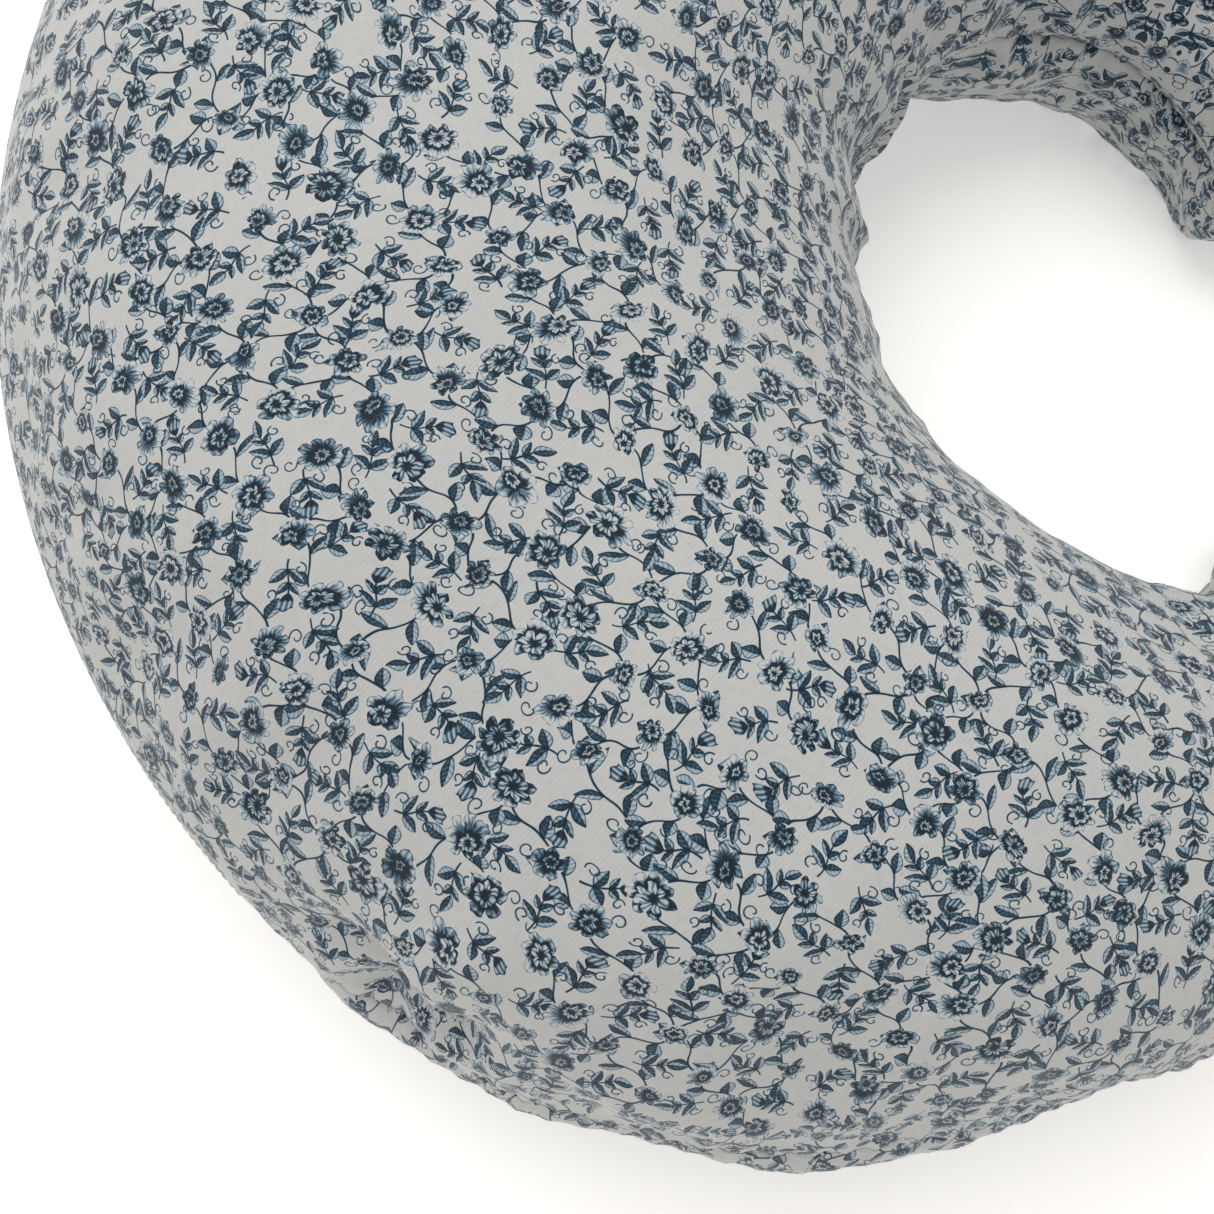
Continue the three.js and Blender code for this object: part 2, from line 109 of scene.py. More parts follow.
class Stations:
    """Rows of the pillow's grids, from the -X arm tip round the back to the +X one."""

    def __init__(self, arm_steps, cap_steps):
        arm = np.linspace(0, CAP_START, arm_steps + 1)
        angle = np.concatenate([arm, np.full(cap_steps, CAP_START)])
        turned = np.linspace(0, math.pi / 2, cap_steps + 1)[1:]
        rounding = np.concatenate([np.zeros(arm_steps + 1), turned])
        self.angle = np.concatenate([angle[:0:-1], angle])
        self.round = np.concatenate([rounding[:0:-1], rounding])
        self.side = np.where(np.arange(len(self.angle)) < len(angle) - 1, -1.0, 1.0)

    def thin(self, step):
        fewer = object.__new__(Stations)
        for name in ("angle", "round", "side"):
            setattr(fewer, name, getattr(self, name)[::step])
        return fewer

    def psi(self):
        """The zip's own angle at the outer seam, about the arc centre."""
        radius = circle_distance(self.angle, ARC_RADIUS, ARC_OFFSET)
        return np.arctan2(radius * np.sin(self.angle), radius * np.cos(self.angle) - ARC_OFFSET)

    def zipped(self, end=MOUTH_END):
        """1 along the zip, falling to 0 where the seam closes beyond its end."""
        beyond = (self.psi() - end) / ZIP_CLOSE
        return np.where(self.round > 0, 0.0, 1 - np.clip(beyond, 0, 1))


def cloth_grid(stations, fractions, half, layer, opening=0.0):
    """Points of a layer, a row for each station and a column for each fraction of a
    panel's width from the outer seam to the hole's. half is 1 for the top, -1 below."""
    side_in, rise = layer
    sweep = CAP_SWEEP - side_in / CAP_DISTANCE
    angle = (stations.angle + sweep * np.sin(stations.round))[:, None]
    scale = np.cos(stations.round)[:, None]
    centre, half_width, half_height = tube(angle)
    lift = seam_lift(stations.angle)[:, None]
    seam = np.arcsin((lift / half_height) ** (ROUNDNESS / 2))
    theta = seam + (half * math.pi - seam) * fractions[None, :]
    closed_gap = SEAM_GAP if opening else 0.0
    open_here = (closed_gap + (opening - closed_gap) * stations.zipped())[:, None]
    share = (1 - np.cos(math.pi * fractions)) / 2
    gap = open_here + (closed_gap - open_here) * share
    radius = centre + (half_width - side_in) * scale * power(np.cos(theta))
    z = half_height - UNDERSIDE_CUT + half * gap
    z = z + (half_height - rise - gap) * scale * power(np.sin(theta))
    x = stations.side[:, None] * radius * np.sin(angle)
    y = HOLE_Y + radius * np.cos(angle)
    return np.stack([x, y, np.maximum(z, rise)], axis=-1)


def zip_point(psi, depth, z):
    """A point on the zip's circle, depth outwards from the cover's face."""
    radius = ARC_RADIUS + depth
    psi, radius, z = np.broadcast_arrays(psi, radius, ZIP_HEIGHT + np.asarray(z, float))
    return np.stack([radius * np.sin(psi), ARC_Y + radius * np.cos(psi), z], axis=-1)


# ---- Meshes --------------------------------------------------------------------------------

def make_object(name, points, faces):
    """A mesh object from points in millimetres."""
    mesh = bpy.data.meshes.new(name)
    mesh.from_pydata((np.asarray(points) * MM).tolist(), [], faces)
    mesh.validate()
    mesh.polygons.foreach_set("use_smooth", [True] * len(mesh.polygons))
    piece = bpy.data.objects.new(name, mesh)
    bpy.context.scene.collection.objects.link(piece)
    return piece


def from_grids(name, grids, faces, distance, flat=None):
    """A welded piece of grids of points, faces between them, and cloth coordinates."""
    points = np.concatenate([grid.reshape(-1, 3) for grid in grids])
    piece = make_object(name, points, np.concatenate(faces).tolist())
    if flat is not None:
        set_coordinates(piece, "cloth", flat)
    return weld(piece, distance)


def grid_faces(rows, columns, flipped=False, start=0):
    """Quads between a grid's points, the first of which has the number start."""
    i, j = np.meshgrid(np.arange(rows - 1), np.arange(columns - 1), indexing="ij")
    a = start + (i * columns + j).ravel()
    quads = np.stack([a, a + 1, a + columns + 1, a + columns], axis=1)
    return quads[:, ::-1] if flipped else quads


def tube_faces(count, sides, start=0):
    """Quads of a closed tube of rings, and its two end faces."""
    i, j = np.meshgrid(np.arange(count - 1), np.arange(sides), indexing="ij")
    a, b = start + (i * sides + j).ravel(), start + (i * sides + (j + 1) % sides).ravel()
    faces = np.stack([a, b, b + sides, a + sides], axis=1).tolist()
    last = start + (count - 1) * sides
    return faces + [list(range(start, start + sides))[::-1], list(range(last, last + sides))]


@contextmanager
def editing(piece):
    """The piece's mesh as a bmesh, written back at the end of the block."""
    bm = bmesh.new()
    bm.from_mesh(piece.data)
    yield bm
    bm.to_mesh(piece.data)
    bm.free()


def weld(piece, distance=1e-5):
    """Joins points in the same place, and turns every face outwards."""
    with editing(piece) as bm:
        bmesh.ops.remove_doubles(bm, verts=bm.verts, dist=distance)
        bmesh.ops.dissolve_degenerate(bm, edges=bm.edges, dist=distance / 2)
        bmesh.ops.recalc_face_normals(bm, faces=bm.faces)
    return piece


def apply_modifiers(piece):
    graph = bpy.context.evaluated_depsgraph_get()
    made = bpy.data.meshes.new_from_object(piece.evaluated_get(graph))
    old = piece.data
    piece.modifiers.clear()
    piece.data = made
    bpy.data.meshes.remove(old)
    return piece


def unit(way):
    return way / np.maximum(np.linalg.norm(way, axis=-1, keepdims=True), 1e-9)


def normals_of(grid):
    """Unit normals of a grid of points."""
    return unit(np.cross(np.gradient(grid, axis=1), np.gradient(grid, axis=0)))


def set_coordinates(piece, layer, per_vertex):
    """Stores flat cloth coordinates as a UV layer, from one pair for each vertex."""
    uv = piece.data.uv_layers.new(name=layer)
    index = np.zeros(len(piece.data.loops), int)
    piece.data.loops.foreach_get("vertex_index", index)
    uv.data.foreach_set("uv", np.asarray(per_vertex, float)[index].ravel())


# ---- How the cloth lies: offsets from the plain surface, in millimetres ----------------------

STATIONS = Stations(260, 36)
EVEN = np.linspace(0, 1, 97)
FRACTIONS = 0.45 * (0.5 - 0.5 * np.cos(math.pi * EVEN)) + 0.55 * EVEN  # closer at the seams
SIM_STEP = 4  # the simulated body takes every fourth row and column
HALVES = {"top": 1, "bottom": -1}


def wander(x, pitch, seed):
    """Smooth random values about 0 along x, changing every pitch."""
    rolls = np.random.RandomState(seed).uniform(-1, 1, 4096)
    at = np.asarray(x) / pitch + 1000
    step = np.floor(at).astype(int)
    t = at - step
    t = t * t * (3 - 2 * t)
    return rolls[step % 4096] * (1 - t) + rolls[(step + 1) % 4096] * t


def lumps(grid, pitch, seed):
    """Smooth random values about 0 through space, with lumps about pitch across."""
    rng = np.random.RandomState(seed)
    total = np.zeros(grid.shape[:-1])
    for _ in range(10):
        way = unit(rng.normal(size=3))
        steep = TURN / pitch / rng.uniform(0.75, 1.35)
        total += np.sin(grid @ way * steep + rng.uniform(0, TURN))
    return total / math.sqrt(10)


def run_of(path):
    """Distance along a row of points from its first."""
    return np.concatenate([[0], np.cumsum(np.linalg.norm(np.diff(path, axis=0), axis=-1))])


def run_along(grid, column):
    """Distance along one column of a grid, from the middle of the back."""
    run = run_of(grid[:, column])
    return run - run[len(run) // 2]


def run_across(grid):
    """Distance across the panel from the outer seam at every point."""
    steps = np.linalg.norm(np.diff(grid, axis=1), axis=-1)
    return np.concatenate([np.zeros((len(grid), 1)), np.cumsum(steps, axis=1)], axis=1)


def bump(distance, width):
    return np.exp(-(distance / width) ** 2)


def dent(grid, plan_angle, height, reach, depth, twist=0.0):
    """A hollow, or a swelling where depth is below 0, at a place on the outer side."""
    angle = math.radians(abs(plan_angle))
    centre, half_width, half_height = tube(np.array([angle]))
    up = (height - (half_height[0] - UNDERSIDE_CUT)) / half_height[0]
    radius = centre[0] + half_width[0] * (1 - abs(up) ** ROUNDNESS) ** (1 / ROUNDNESS)
    at = np.array([math.copysign(radius * math.sin(angle), plan_angle),
                   HOLE_Y + radius * math.cos(angle), height])
    gap = grid - at
    distance = np.linalg.norm(gap, axis=-1)
    out = unit(np.array([at[0], at[1] - HOLE_Y, 0]))
    side = np.cross(out, (0, 0, 1))
    turned = np.arctan2(gap[..., 2], gap @ side)
    swirl = np.sin(3 * turned + distance / reach * twist) * bump(distance - reach, reach * 0.6)
    return -depth * bump(distance, reach) + 0.34 * abs(depth) * swirl * (twist != 0)


OUTER_TUCK, HOLE_TUCK = 9.5, 9.0  # from one tuck to the next, beside each seam
# Hollows and swellings: plan angle, height, reach, depth and, where swirled, twist.
DENTS = ((-43.5, 109, 21, 11.0, 2.6), (-44, 141, 16, -4.0), (-66, 66, 32, -7.0),
         (-81, 84, 27, 5.0), (47, 112, 26, 4.5, -2.0), (101, 70, 28, 4.0, 1.7))


def detail(half, grid):
    """Tucks at the seams, wrinkles at the hole, hollows and lumps, along the normal."""
    across = run_across(grid)
    width = across[:, -1:]
    from_outer, from_hole = across, width - across
    outer = run_along(grid, 0)[:, None]
    hole = run_along(grid, -1)[:, None]
    closed = (1 - STATIONS.zipped())[:, None] * np.clip(width / 60, 0, 1)
    seed = 40 if half > 0 else 60

    strength = 0.65 + 0.35 * wander(outer, 37, 31)
    tuck = np.cos(TURN * outer / OUTER_TUCK + 1.6 * wander(outer, 23, 32))
    offset = closed * bump(from_outer, 13) * tuck * 1.05 * strength
    offset = offset - closed * bump(from_outer, 4.5) * 1.6
    offset = offset + closed * bump(from_outer - 11, 8) * wander(outer, 15, seed + 3) * 0.9

    tuck = np.cos(TURN * hole / HOLE_TUCK + 1.8 * wander(hole, 19, 34))
    offset = offset + bump(from_hole, 12) * tuck * 0.7 * (0.6 + 0.4 * wander(hole, 31, 35))
    offset = offset - bump(from_hole, 4.5) * 1.4
    for pitch, reach, depth, k in ((33, 66, 3.6, 6), (17, 36, 1.9, 7)):
        ridge = wander(hole + 0.16 * from_hole, pitch, seed + k)
        fold = 1 - 2.2 * np.abs(ridge)
        offset = offset + bump(from_hole, reach) * fold * depth * np.clip(from_hole / 9, 0, 1)

    offset = offset + lumps(grid, 150, 7) * 1.3 + lumps(grid, 64, 8) * 0.55
    for place in DENTS:
        offset = offset + dent(grid, *place)
    return offset


# ---- Cloth simulation: a little too much cloth, puffed out over the filling ------------------

SIM_VOXEL = 5.0
SIM_FRAMES = 20
SIM_PRESSURE = 4.0
SIM_EXTRA_CLOTH = 0.045
SIM_CAP = 12.0
SIM_SHARE = 0.8


def sim_body(stations, fractions):
    """A closed body of both panels, remeshed evenly."""
    grids = [cloth_grid(stations, fractions, half, COVER) for half in (1, -1)]
    rows, columns = grids[0].shape[:2]
    faces = [grid_faces(rows, columns, k > 0, k * rows * columns) for k in (0, 1)]
    body = from_grids("sim_body", grids, faces, 1e-4)
    body.data.remesh_voxel_size = SIM_VOXEL * MM
    bpy.context.view_layer.objects.active = body
    body.select_set(True)
    bpy.ops.object.voxel_remesh()
    return body


def points_of(mesh):
    found = np.zeros(len(mesh.vertices) * 3)
    mesh.vertices.foreach_get("co", found)
    return found.reshape(-1, 3) / MM


def hold_weights(points):
    """How firmly each point stays put: the zip, the underside and the seams' lines."""
    plan = np.abs(np.arctan2(points[:, 0], points[:, 1] - HOLE_Y))
    radius = np.hypot(points[:, 0], points[:, 1] - HOLE_Y)
    psi = np.abs(np.arctan2(points[:, 0], points[:, 1] - ARC_Y))
    centre, _, half_height = tube(np.minimum(plan, CAP_START + CAP_SWEEP))
    low = bump(np.maximum(points[:, 2] - 1.5, 0), 3.0)
    seam_z = half_height - UNDERSIDE_CUT + np.where(radius > centre, seam_lift(plan), 0)
    seam = bump(points[:, 2] - seam_z, 5.0) * 0.9
    chain = bump(points[:, 2] - ZIP_HEIGHT, 22.0) * ease(np.degrees(psi), (52, 46))
    chain = chain * (radius > centre)
    return np.clip(np.maximum(np.maximum(low, seam), np.minimum(chain * 1.5, 1)), 0, 1)


def simulate():
    """The simulated body's points at rest, its faces, and how far each point moved."""
    body = sim_body(STATIONS.thin(SIM_STEP), FRACTIONS[::SIM_STEP])
    rest = points_of(body.data)
    group = body.vertex_groups.new(name="hold")
    for index, weight in enumerate(hold_weights(rest)):
        if weight > 0.02:
            group.add([index], float(weight), "REPLACE")
    cloth = body.modifiers.new("cloth", "CLOTH")
    settings = cloth.settings
    settings.quality = 6
    settings.mass = 0.25
    settings.tension_stiffness = settings.compression_stiffness = 12
    settings.shear_stiffness = 4
    settings.bending_stiffness = 0.35
    settings.tension_damping = settings.compression_damping = settings.shear_damping = 4
    settings.use_pressure = True
    settings.uniform_pressure_force = SIM_PRESSURE
    settings.shrink_min = settings.shrink_max = -SIM_EXTRA_CLOTH
    settings.vertex_group_mass = "hold"
    settings.pin_stiffness = 2
    settings.effector_weights.gravity = 0
    cloth.collision_settings.use_collision = False
    cloth.point_cache.frame_start, cloth.point_cache.frame_end = 1, SIM_FRAMES
    for number in range(1, SIM_FRAMES + 1):
        bpy.context.scene.frame_set(number)
    apply_modifiers(body)
    moved = points_of(body.data) - rest
    faces = [tuple(p.vertices) for p in body.data.polygons]
    bpy.context.scene.frame_set(1)
    bpy.data.objects.remove(body)
    far = np.linalg.norm(moved, axis=1, keepdims=True)
    return rest, faces, moved * np.minimum(1, SIM_CAP / np.maximum(far, 1e-6))


def blur(field, rounds):
    """Evens a grid out along both ways."""
    for _ in range(rounds):
        for axis in (0, 1):
            margins = [(int(k == axis),) * 2 for k in range(field.ndim)]
            wide = np.pad(field, margins, "edge")
            ahead = np.take(wide, range(2, wide.shape[axis]), axis)
            behind = np.take(wide, range(wide.shape[axis] - 2), axis)
            field = (field * 2 + ahead + behind) / 4
    return field


def carry_over(grid, rest, faces, moved):
    """What the simulation moved each point of a grid by, along its normal, with the
    even swelling taken off so that only wrinkles and hollows are left."""
    tree = BVHTree.FromPolygons(rest.tolist(), faces)
    flat = grid.reshape(-1, 3)
    found = np.zeros((len(flat), 3))
    for k, point in enumerate(flat):
        near, _, face, _ = tree.find_nearest(Vector(point))
        corners = list(faces[face])
        gap = np.linalg.norm(rest[corners] - np.array(near), axis=1)
        share = 1 / (gap + 0.3) ** 2
        found[k] = (moved[corners] * share[:, None]).sum(0) / share.sum()
    rise = (found.reshape(grid.shape) * normals_of(grid)).sum(-1)
    rise = blur(rise, 2)
    across = run_across(grid)
    sewn = (1 - bump(across, 9)) * (1 - bump(across[:, -1:] - across, 9))
    return (rise - blur(rise, 900)) * sewn


def steady(half, grid):
    """0 where the cloth may not stray: along the zip and under the pillow."""
    across = run_across(grid)
    calm = 1 - ease(across, (42, 16)) * ease(STATIONS.zipped()[:, None], (0, 1))
    resting = np.clip(grid[..., 2] / 6, 0, 1) if half < 0 else 1.0
    return calm * resting


def sew(top, bottom, plain_top, plain_bottom):
    """Brings the two faces' edges together, as far apart as the plain panels' are."""
    for end in (0, -1):
        middle = (top[:, end] + bottom[:, end]) / 2
        apart = (plain_top[:, end] - plain_bottom[:, end]) / 2
        for face, sign in ((top, 1), (bottom, -1)):
            shift = middle + sign * apart - face[:, end]
            for k, share in enumerate((1, 0.72, 0.42, 0.18)):
                face[:, k if end == 0 else -1 - k] += shift * share


# ---- Flat pattern: cloth coordinates with as little stretch as can be ------------------------

def relax(points, flat, rounds):
    """Moves flat points until neighbours lie as far apart as they do on the surface."""
    pairs = [(slice(None, -1), slice(None), slice(1, None), slice(None)),
             (slice(None), slice(None, -1), slice(None), slice(1, None)),
             (slice(None, -1), slice(None, -1), slice(1, None), slice(1, None)),
             (slice(1, None), slice(None, -1), slice(None, -1), slice(1, None))]
    lengths = [np.linalg.norm(points[a, b] - points[c, d], axis=-1) for a, b, c, d in pairs]
    for _ in range(rounds):
        push = np.zeros_like(flat)
        count = np.zeros(flat.shape[:2] + (1,))
        for (a, b, c, d), length in zip(pairs, lengths):
            way = flat[a, b] - flat[c, d]
            now = np.maximum(np.linalg.norm(way, axis=-1), 1e-6)
            weight = (length > 0.5)[..., None]
            step = way * ((length - now) / now * 0.5)[..., None] * weight
            push[a, b] += step
            push[c, d] -= step
            count[a, b] += weight
            count[c, d] += weight
        flat = flat + push / np.maximum(count, 1)
    return flat


def spread(coarse, step, along, across):
    """Interpolates every step-th row and column of a grid back to all of them, by the
    distances along and across."""
    for axis, run in ((0, along), (1, across)):
        knots = run[::step]
        k = np.clip(np.searchsorted(knots, run, "right") - 1, 0, len(knots) - 2)
        t = (run - knots[k]) / (knots[k + 1] - knots[k])
        t = t.reshape(-1, 1, 1) if axis == 0 else t.reshape(1, -1, 1)
        coarse = np.take(coarse, k, axis) * (1 - t) + np.take(coarse, k + 1, axis) * t
    return coarse


def flat_pattern(grid):
    """The panel's cut shape: flat coordinates of every point, in millimetres."""
    across = run_across(grid)
    crown = across[:, -1:] / 2
    middle = grid[:, grid.shape[1] // 2]
    way = np.stack([middle[:, 0], middle[:, 1] - HOLE_Y], axis=-1)
    radius = np.linalg.norm(way, axis=-1, keepdims=True)
    flat = way[:, None] / radius[:, None] * (radius + crown - across)[..., None]
    along, over_width = run_along(grid, grid.shape[1] // 2), across.mean(0)
    flat = spread(relax(grid[::8, ::8], flat[::8, ::8], 900), 8, along, over_width)
    flat = spread(relax(grid[::4, ::4], flat[::4, ::4], 300), 4, along, over_width)
    return blur(relax(grid, flat, 80), 2)


# ---- Shader maths written as Python expressions ----------------------------------------------

def new_node(near, kind, **settings):
    """A shader node in the tree that near, a socket or a Val, belongs to."""
    node = near.id_data.nodes.new("ShaderNode" + kind)
    for key, value in settings.items():
        setattr(node, key, value)
    return node


def feed(slot, item):
    """Gives an input a Val, another node's output or a plain number."""
    item = getattr(item, "socket", item)
    if isinstance(item, bpy.types.NodeSocket):
        slot.id_data.links.new(item, slot)
    else:
        slot.default_value = item


class Val:
    """One number flowing through a material's nodes; arithmetic on it adds Math nodes."""

    def __init__(self, socket):
        self.socket = socket
        self.id_data = socket.id_data

    def through(self, node, *items):
        """What comes out of a node whose inputs are fed, in order, with the items."""
        for slot, item in zip(node.inputs, items):
            feed(slot, item)
        return Val(node.outputs[0])

    def math(self, operation, *others):
        return self.through(new_node(self, "Math", operation=operation), self, *others)

    def __rsub__(self, other):
        return (self * -1.0) + other

    def ramp(self, low, high, start=0.0, end=1.0):
        """Goes smoothly from start to end as the number goes from low to high."""
        node = new_node(self, "MapRange", interpolation_type="SMOOTHSTEP")
        return self.through(node, self, low, high, start, end)

    def mix(self, other, share):
        """This number where share is 0, the other where it is 1."""
        node = new_node(self, "Mix", data_type="FLOAT")
        for slot, item in ((0, share), (2, self), (3, other)):
            feed(node.inputs[slot], item)
        return Val(node.outputs[0])


def math_method(operation):
    return lambda self, *others: self.math(operation, *others)


for method, operation in {
        "__add__": "ADD", "__radd__": "ADD", "__sub__": "SUBTRACT", "__mul__": "MULTIPLY",
        "__rmul__": "MULTIPLY", "__truediv__": "DIVIDE", "madd": "MULTIPLY_ADD", "sin": "SINE",
        "cos": "COSINE", "abs": "ABSOLUTE", "floor": "FLOOR", "fract": "FRACT", "sqrt": "SQRT",
        "power": "POWER", "max": "MAXIMUM", "less": "LESS_THAN", "more": "GREATER_THAN",
        "arctan2": "ARCTAN2"}.items():
    setattr(Val, method, math_method(operation))


def parts(socket):
    node = new_node(socket, "SeparateXYZ")
    feed(node.inputs[0], socket)
    return [Val(out) for out in node.outputs]


def noise(coords, size, detail=2.0, kind="3D", distortion=0.0):
    """A noise node whose grains are about size across, in the coordinates' unit."""
    node = new_node(coords, "TexNoise", noise_dimensions=kind)
    feed(node.inputs["Vector"], coords)
    node.inputs["Scale"].default_value = 1 / size
    node.inputs["Detail"].default_value = detail
    node.inputs["Distortion"].default_value = distortion
    return node


def flat_noise(coords, size, detail=2.0):
    return Val(noise(coords, size, detail, "2D").outputs["Fac"])


def flat_noises(coords, size, detail=0.0):
    """Three noises at once, for the same price as one."""
    return parts(noise(coords, size, detail, "2D").outputs["Color"])


def solid_noise(coords, size, detail=2.0, distortion=0.0):
    return Val(noise(coords, size, detail, "3D", distortion).outputs["Fac"])


def chance(x, y):
    """Three random numbers that stay the same for the same x and y."""
    place = new_node(x, "CombineXYZ")
    for slot, item in zip(place.inputs, (x, y)):
        feed(slot, item)
    node = new_node(x, "TexWhiteNoise", noise_dimensions="2D")
    feed(node.inputs["Vector"], place.outputs[0])
    return parts(node.outputs["Color"])


def turn(x, y, angle):
    """x and y turned by minus angle, which is a number or a Val in radians."""
    if isinstance(angle, Val):
        c, s = angle.cos(), angle.sin()
    else:
        c, s = math.cos(angle), math.sin(angle)
    return x * c + y * s, y * c - x * s


# ---- The print: motifs give (cover, tone) in millimetres from their own place --------------

SOFT = 0.15  # how far ink spreads at an edge, mm
PRINT_SCALE = 1.1  # motifs are drawn this much larger than they are printed
MOTIF_PITCH, LEAF_PITCH = 17.2, 5.9  # from flower to flower, and from leaf to leaf on a stem
STEM_TONE = 0.85


def inside(depth):
    """1 where depth, in mm, is well inside a shape and 0 outside it."""
    return depth.ramp(-SOFT, SOFT)


def leaf(x, y, length, width):
    """A pointed leaf from the origin along +x, darker below its midrib."""
    along = x / length
    body = (along * math.pi).sin().max(0.0).power(0.8) * (1.2 - along * 0.42)
    half = body * (width / 2)
    depth = half - y.abs()
    cover = inside(depth) * along.more(0.0) * along.less(1.0)
    rib = y.abs().ramp(0.05, 0.35, 0.4, 0.0)
    veins = (x * 5.0 - y.abs() * 4.0).sin() * 0.1
    side = y.ramp(-0.5, 0.35, 0.74, 0.26) - along * 0.16
    edge = depth.ramp(0.05, 0.42, 0.46, 0.0)
    return cover, side + rib + veins + edge


def polar(x, y):
    return (x * x + y * y).sqrt(), y.arctan2(x)


def bloom(x, y, size, petals, heart, lean, shade):
    """A flower of two rings of petals. heart is the inner ring's share of size, and
    lean is how far that ring sits off the middle, as on a flower seen from one side."""
    r, a = polar(x, y)
    lobes = (a * petals * 0.5).cos().abs()
    edge = size * (lobes.power(0.7) * 0.36 + 0.62)
    depth = edge - r
    cover = inside(depth)
    share = r / edge
    tone = lobes.ramp(0.0, 0.4, 0.7, 0.0) + share.ramp(0.4, 0.95, 0.62, 0.1)
    tone = tone + (a * petals * 3.0).sin() * 0.16 + depth.ramp(0.0, 0.45, 0.6, 0.0)
    inner_x, inner_y = x + size * lean, y + size * lean * 0.6
    q, b = polar(inner_x, inner_y)
    rim = size * heart * ((b * petals * 0.5 + 0.8).sin().abs().power(0.6) * 0.46 + 0.56)
    under = (q - rim).ramp(0.0, size * 0.28, 0.75, 0.0)
    near = q / rim
    middle = near.ramp(0.2, 0.62, 1.2, 0.18) + (rim - q).ramp(0.0, 0.5, 0.85, 0.0)
    middle = middle + (b * petals * 2.0).sin() * 0.24
    light = inner_y / size
    return cover, (tone + under).mix(middle, inside(rim - q)) + shade - light * 0.22


def bud(x, y, size):
    """A closed flower seen from the side, opening along +x."""
    along = x / size
    half = (along.max(0.0) * 2.2).sin().max(0.0).power(0.7) * (size * 0.42)
    top = 0.92 + (y * (9.0 / size)).cos() * 0.1
    cover = inside(half - y.abs()) * along.more(0.0) * along.less(top)
    cup = along.ramp(0.3, 0.5, 1.0, 0.35)
    lines = (y * (26.0 / size)).sin() * 0.25
    tip = (top - along).ramp(0.0, 0.14, 0.55, 0.0)
    return cover, cup + lines + tip


def curl(x, y, size):
    """A tendril that winds in, as a thin line."""
    r, a = polar(x, y)
    track = a.madd(0.62 / TURN, 0.62) * size
    return inside(0.17 - (r - track).abs())


def pair(x, y, at, length, lean):
    """Two leaves on either side of a stem along x, from the point at."""
    lx, ly = turn(x - at, y.abs(), lean)
    return leaf(lx, ly, length, length * 0.5)


def branch(ink, x, y, top, kind):
    """A stem along x with a bud or leaf on its end and leaves down its sides."""
    bend = (x * 0.5).sin() * 0.5
    y = y - bend
    stem = inside(0.22 - y.abs()) * x.more(-6.0) * x.less(top)
    ink = ink.max(stem * STEM_TONE)
    cover, tone = pair(x, y, -3.2, 5.6, 0.95)
    ink = over(ink, cover, tone)
    cover, tone = pair(x, y, 0.2, 3.9, 0.75)
    ink = over(ink, cover, tone)
    cover, tone = leaf(x - top, y, 5.6, 2.9)
    ink = over(ink, cover * kind, tone)
    cover, tone = bud(x - top, y, 5.0)
    return over(ink, cover * (1.0 - kind), tone)


def over(ink, cover, tone, clear=None):
    """Prints a motif over what is there; clear is where the cloth is left bare round it."""
    if clear is not None:
        ink = ink * (1.0 - clear)
    return ink.mix(tone, cover)


class Lattice:
    """Places for motifs: one in each square cell, a little off its middle."""

    def __init__(self, x, y, pitch, jitter, seed):
        self.x, self.y = x, y
        self.pitch, self.jitter, self.seed = pitch, jitter, seed
        self.column = (x / pitch).floor()
        self.row = (y / pitch).floor()

    def lot(self, column, row, more=0.0):
        return chance(column + (self.seed + more), row)

    def place(self, column, row):
        lot = self.lot(column, row)
        off = 0.5 - self.jitter / 2
        return [(at + roll.madd(self.jitter, off)) * self.pitch
                for at, roll in zip((column, row), lot)]

    def own(self):
        """The point's place from its own motif, and three random numbers."""
        cx, cy = self.place(self.column, self.row)
        return self.x - cx, self.y - cy, self.lot(self.column, self.row, 31.0)

    def link(self, across):
        """Distance along and off the line from one motif to the next, the line's
        length, and three random numbers. across picks the row's line or the column's."""
        cx, cy = self.place(self.column, self.row)
        if across:
            first = self.column - self.x.less(cx)
            a = self.place(first, self.row)
            b = self.place(first + 1.0, self.row)
            lot = self.lot(first, self.row, 57.0)
        else:
            first = self.row - self.y.less(cy)
            a = self.place(self.column, first)
            b = self.place(self.column, first + 1.0)
            lot = self.lot(self.column, first, 83.0)
        dx, dy = b[0] - a[0], b[1] - a[1]
        length = (dx * dx + dy * dy).sqrt()
        ux, uy = dx / length, dy / length
        px, py = self.x - a[0], self.y - a[1]
        return px * ux + py * uy, py * ux - px * uy, length, lot


def trail(ink, lattice, across, share):
    """A leafy stem from motif to motif, on the given share of the lattice's lines."""
    along, off, length, lot = lattice.link(across)
    here = lot[0].less(share)
    side = lot[1].more(0.5).madd(2.0, -1.0)
    off = off * side
    off = off - (along * TURN / length).sin() * 1.7
    stem = inside(0.27 - off.abs()) * here
    ink = ink.max(stem * STEM_TONE)
    step = along / LEAF_PITCH + 0.15
    flip = (step.floor() * 0.5).fract().more(0.25).madd(2.0, -1.0)
    sx = (step.fract() - 0.08) * LEAF_PITCH
    lx, ly = turn(sx, off * flip, lot[2].madd(0.3, 0.8))
    cover, tone = leaf(lx, ly, lot[2].madd(2.0, 5.4), 3.1)
    return over(ink, cover * here, tone)


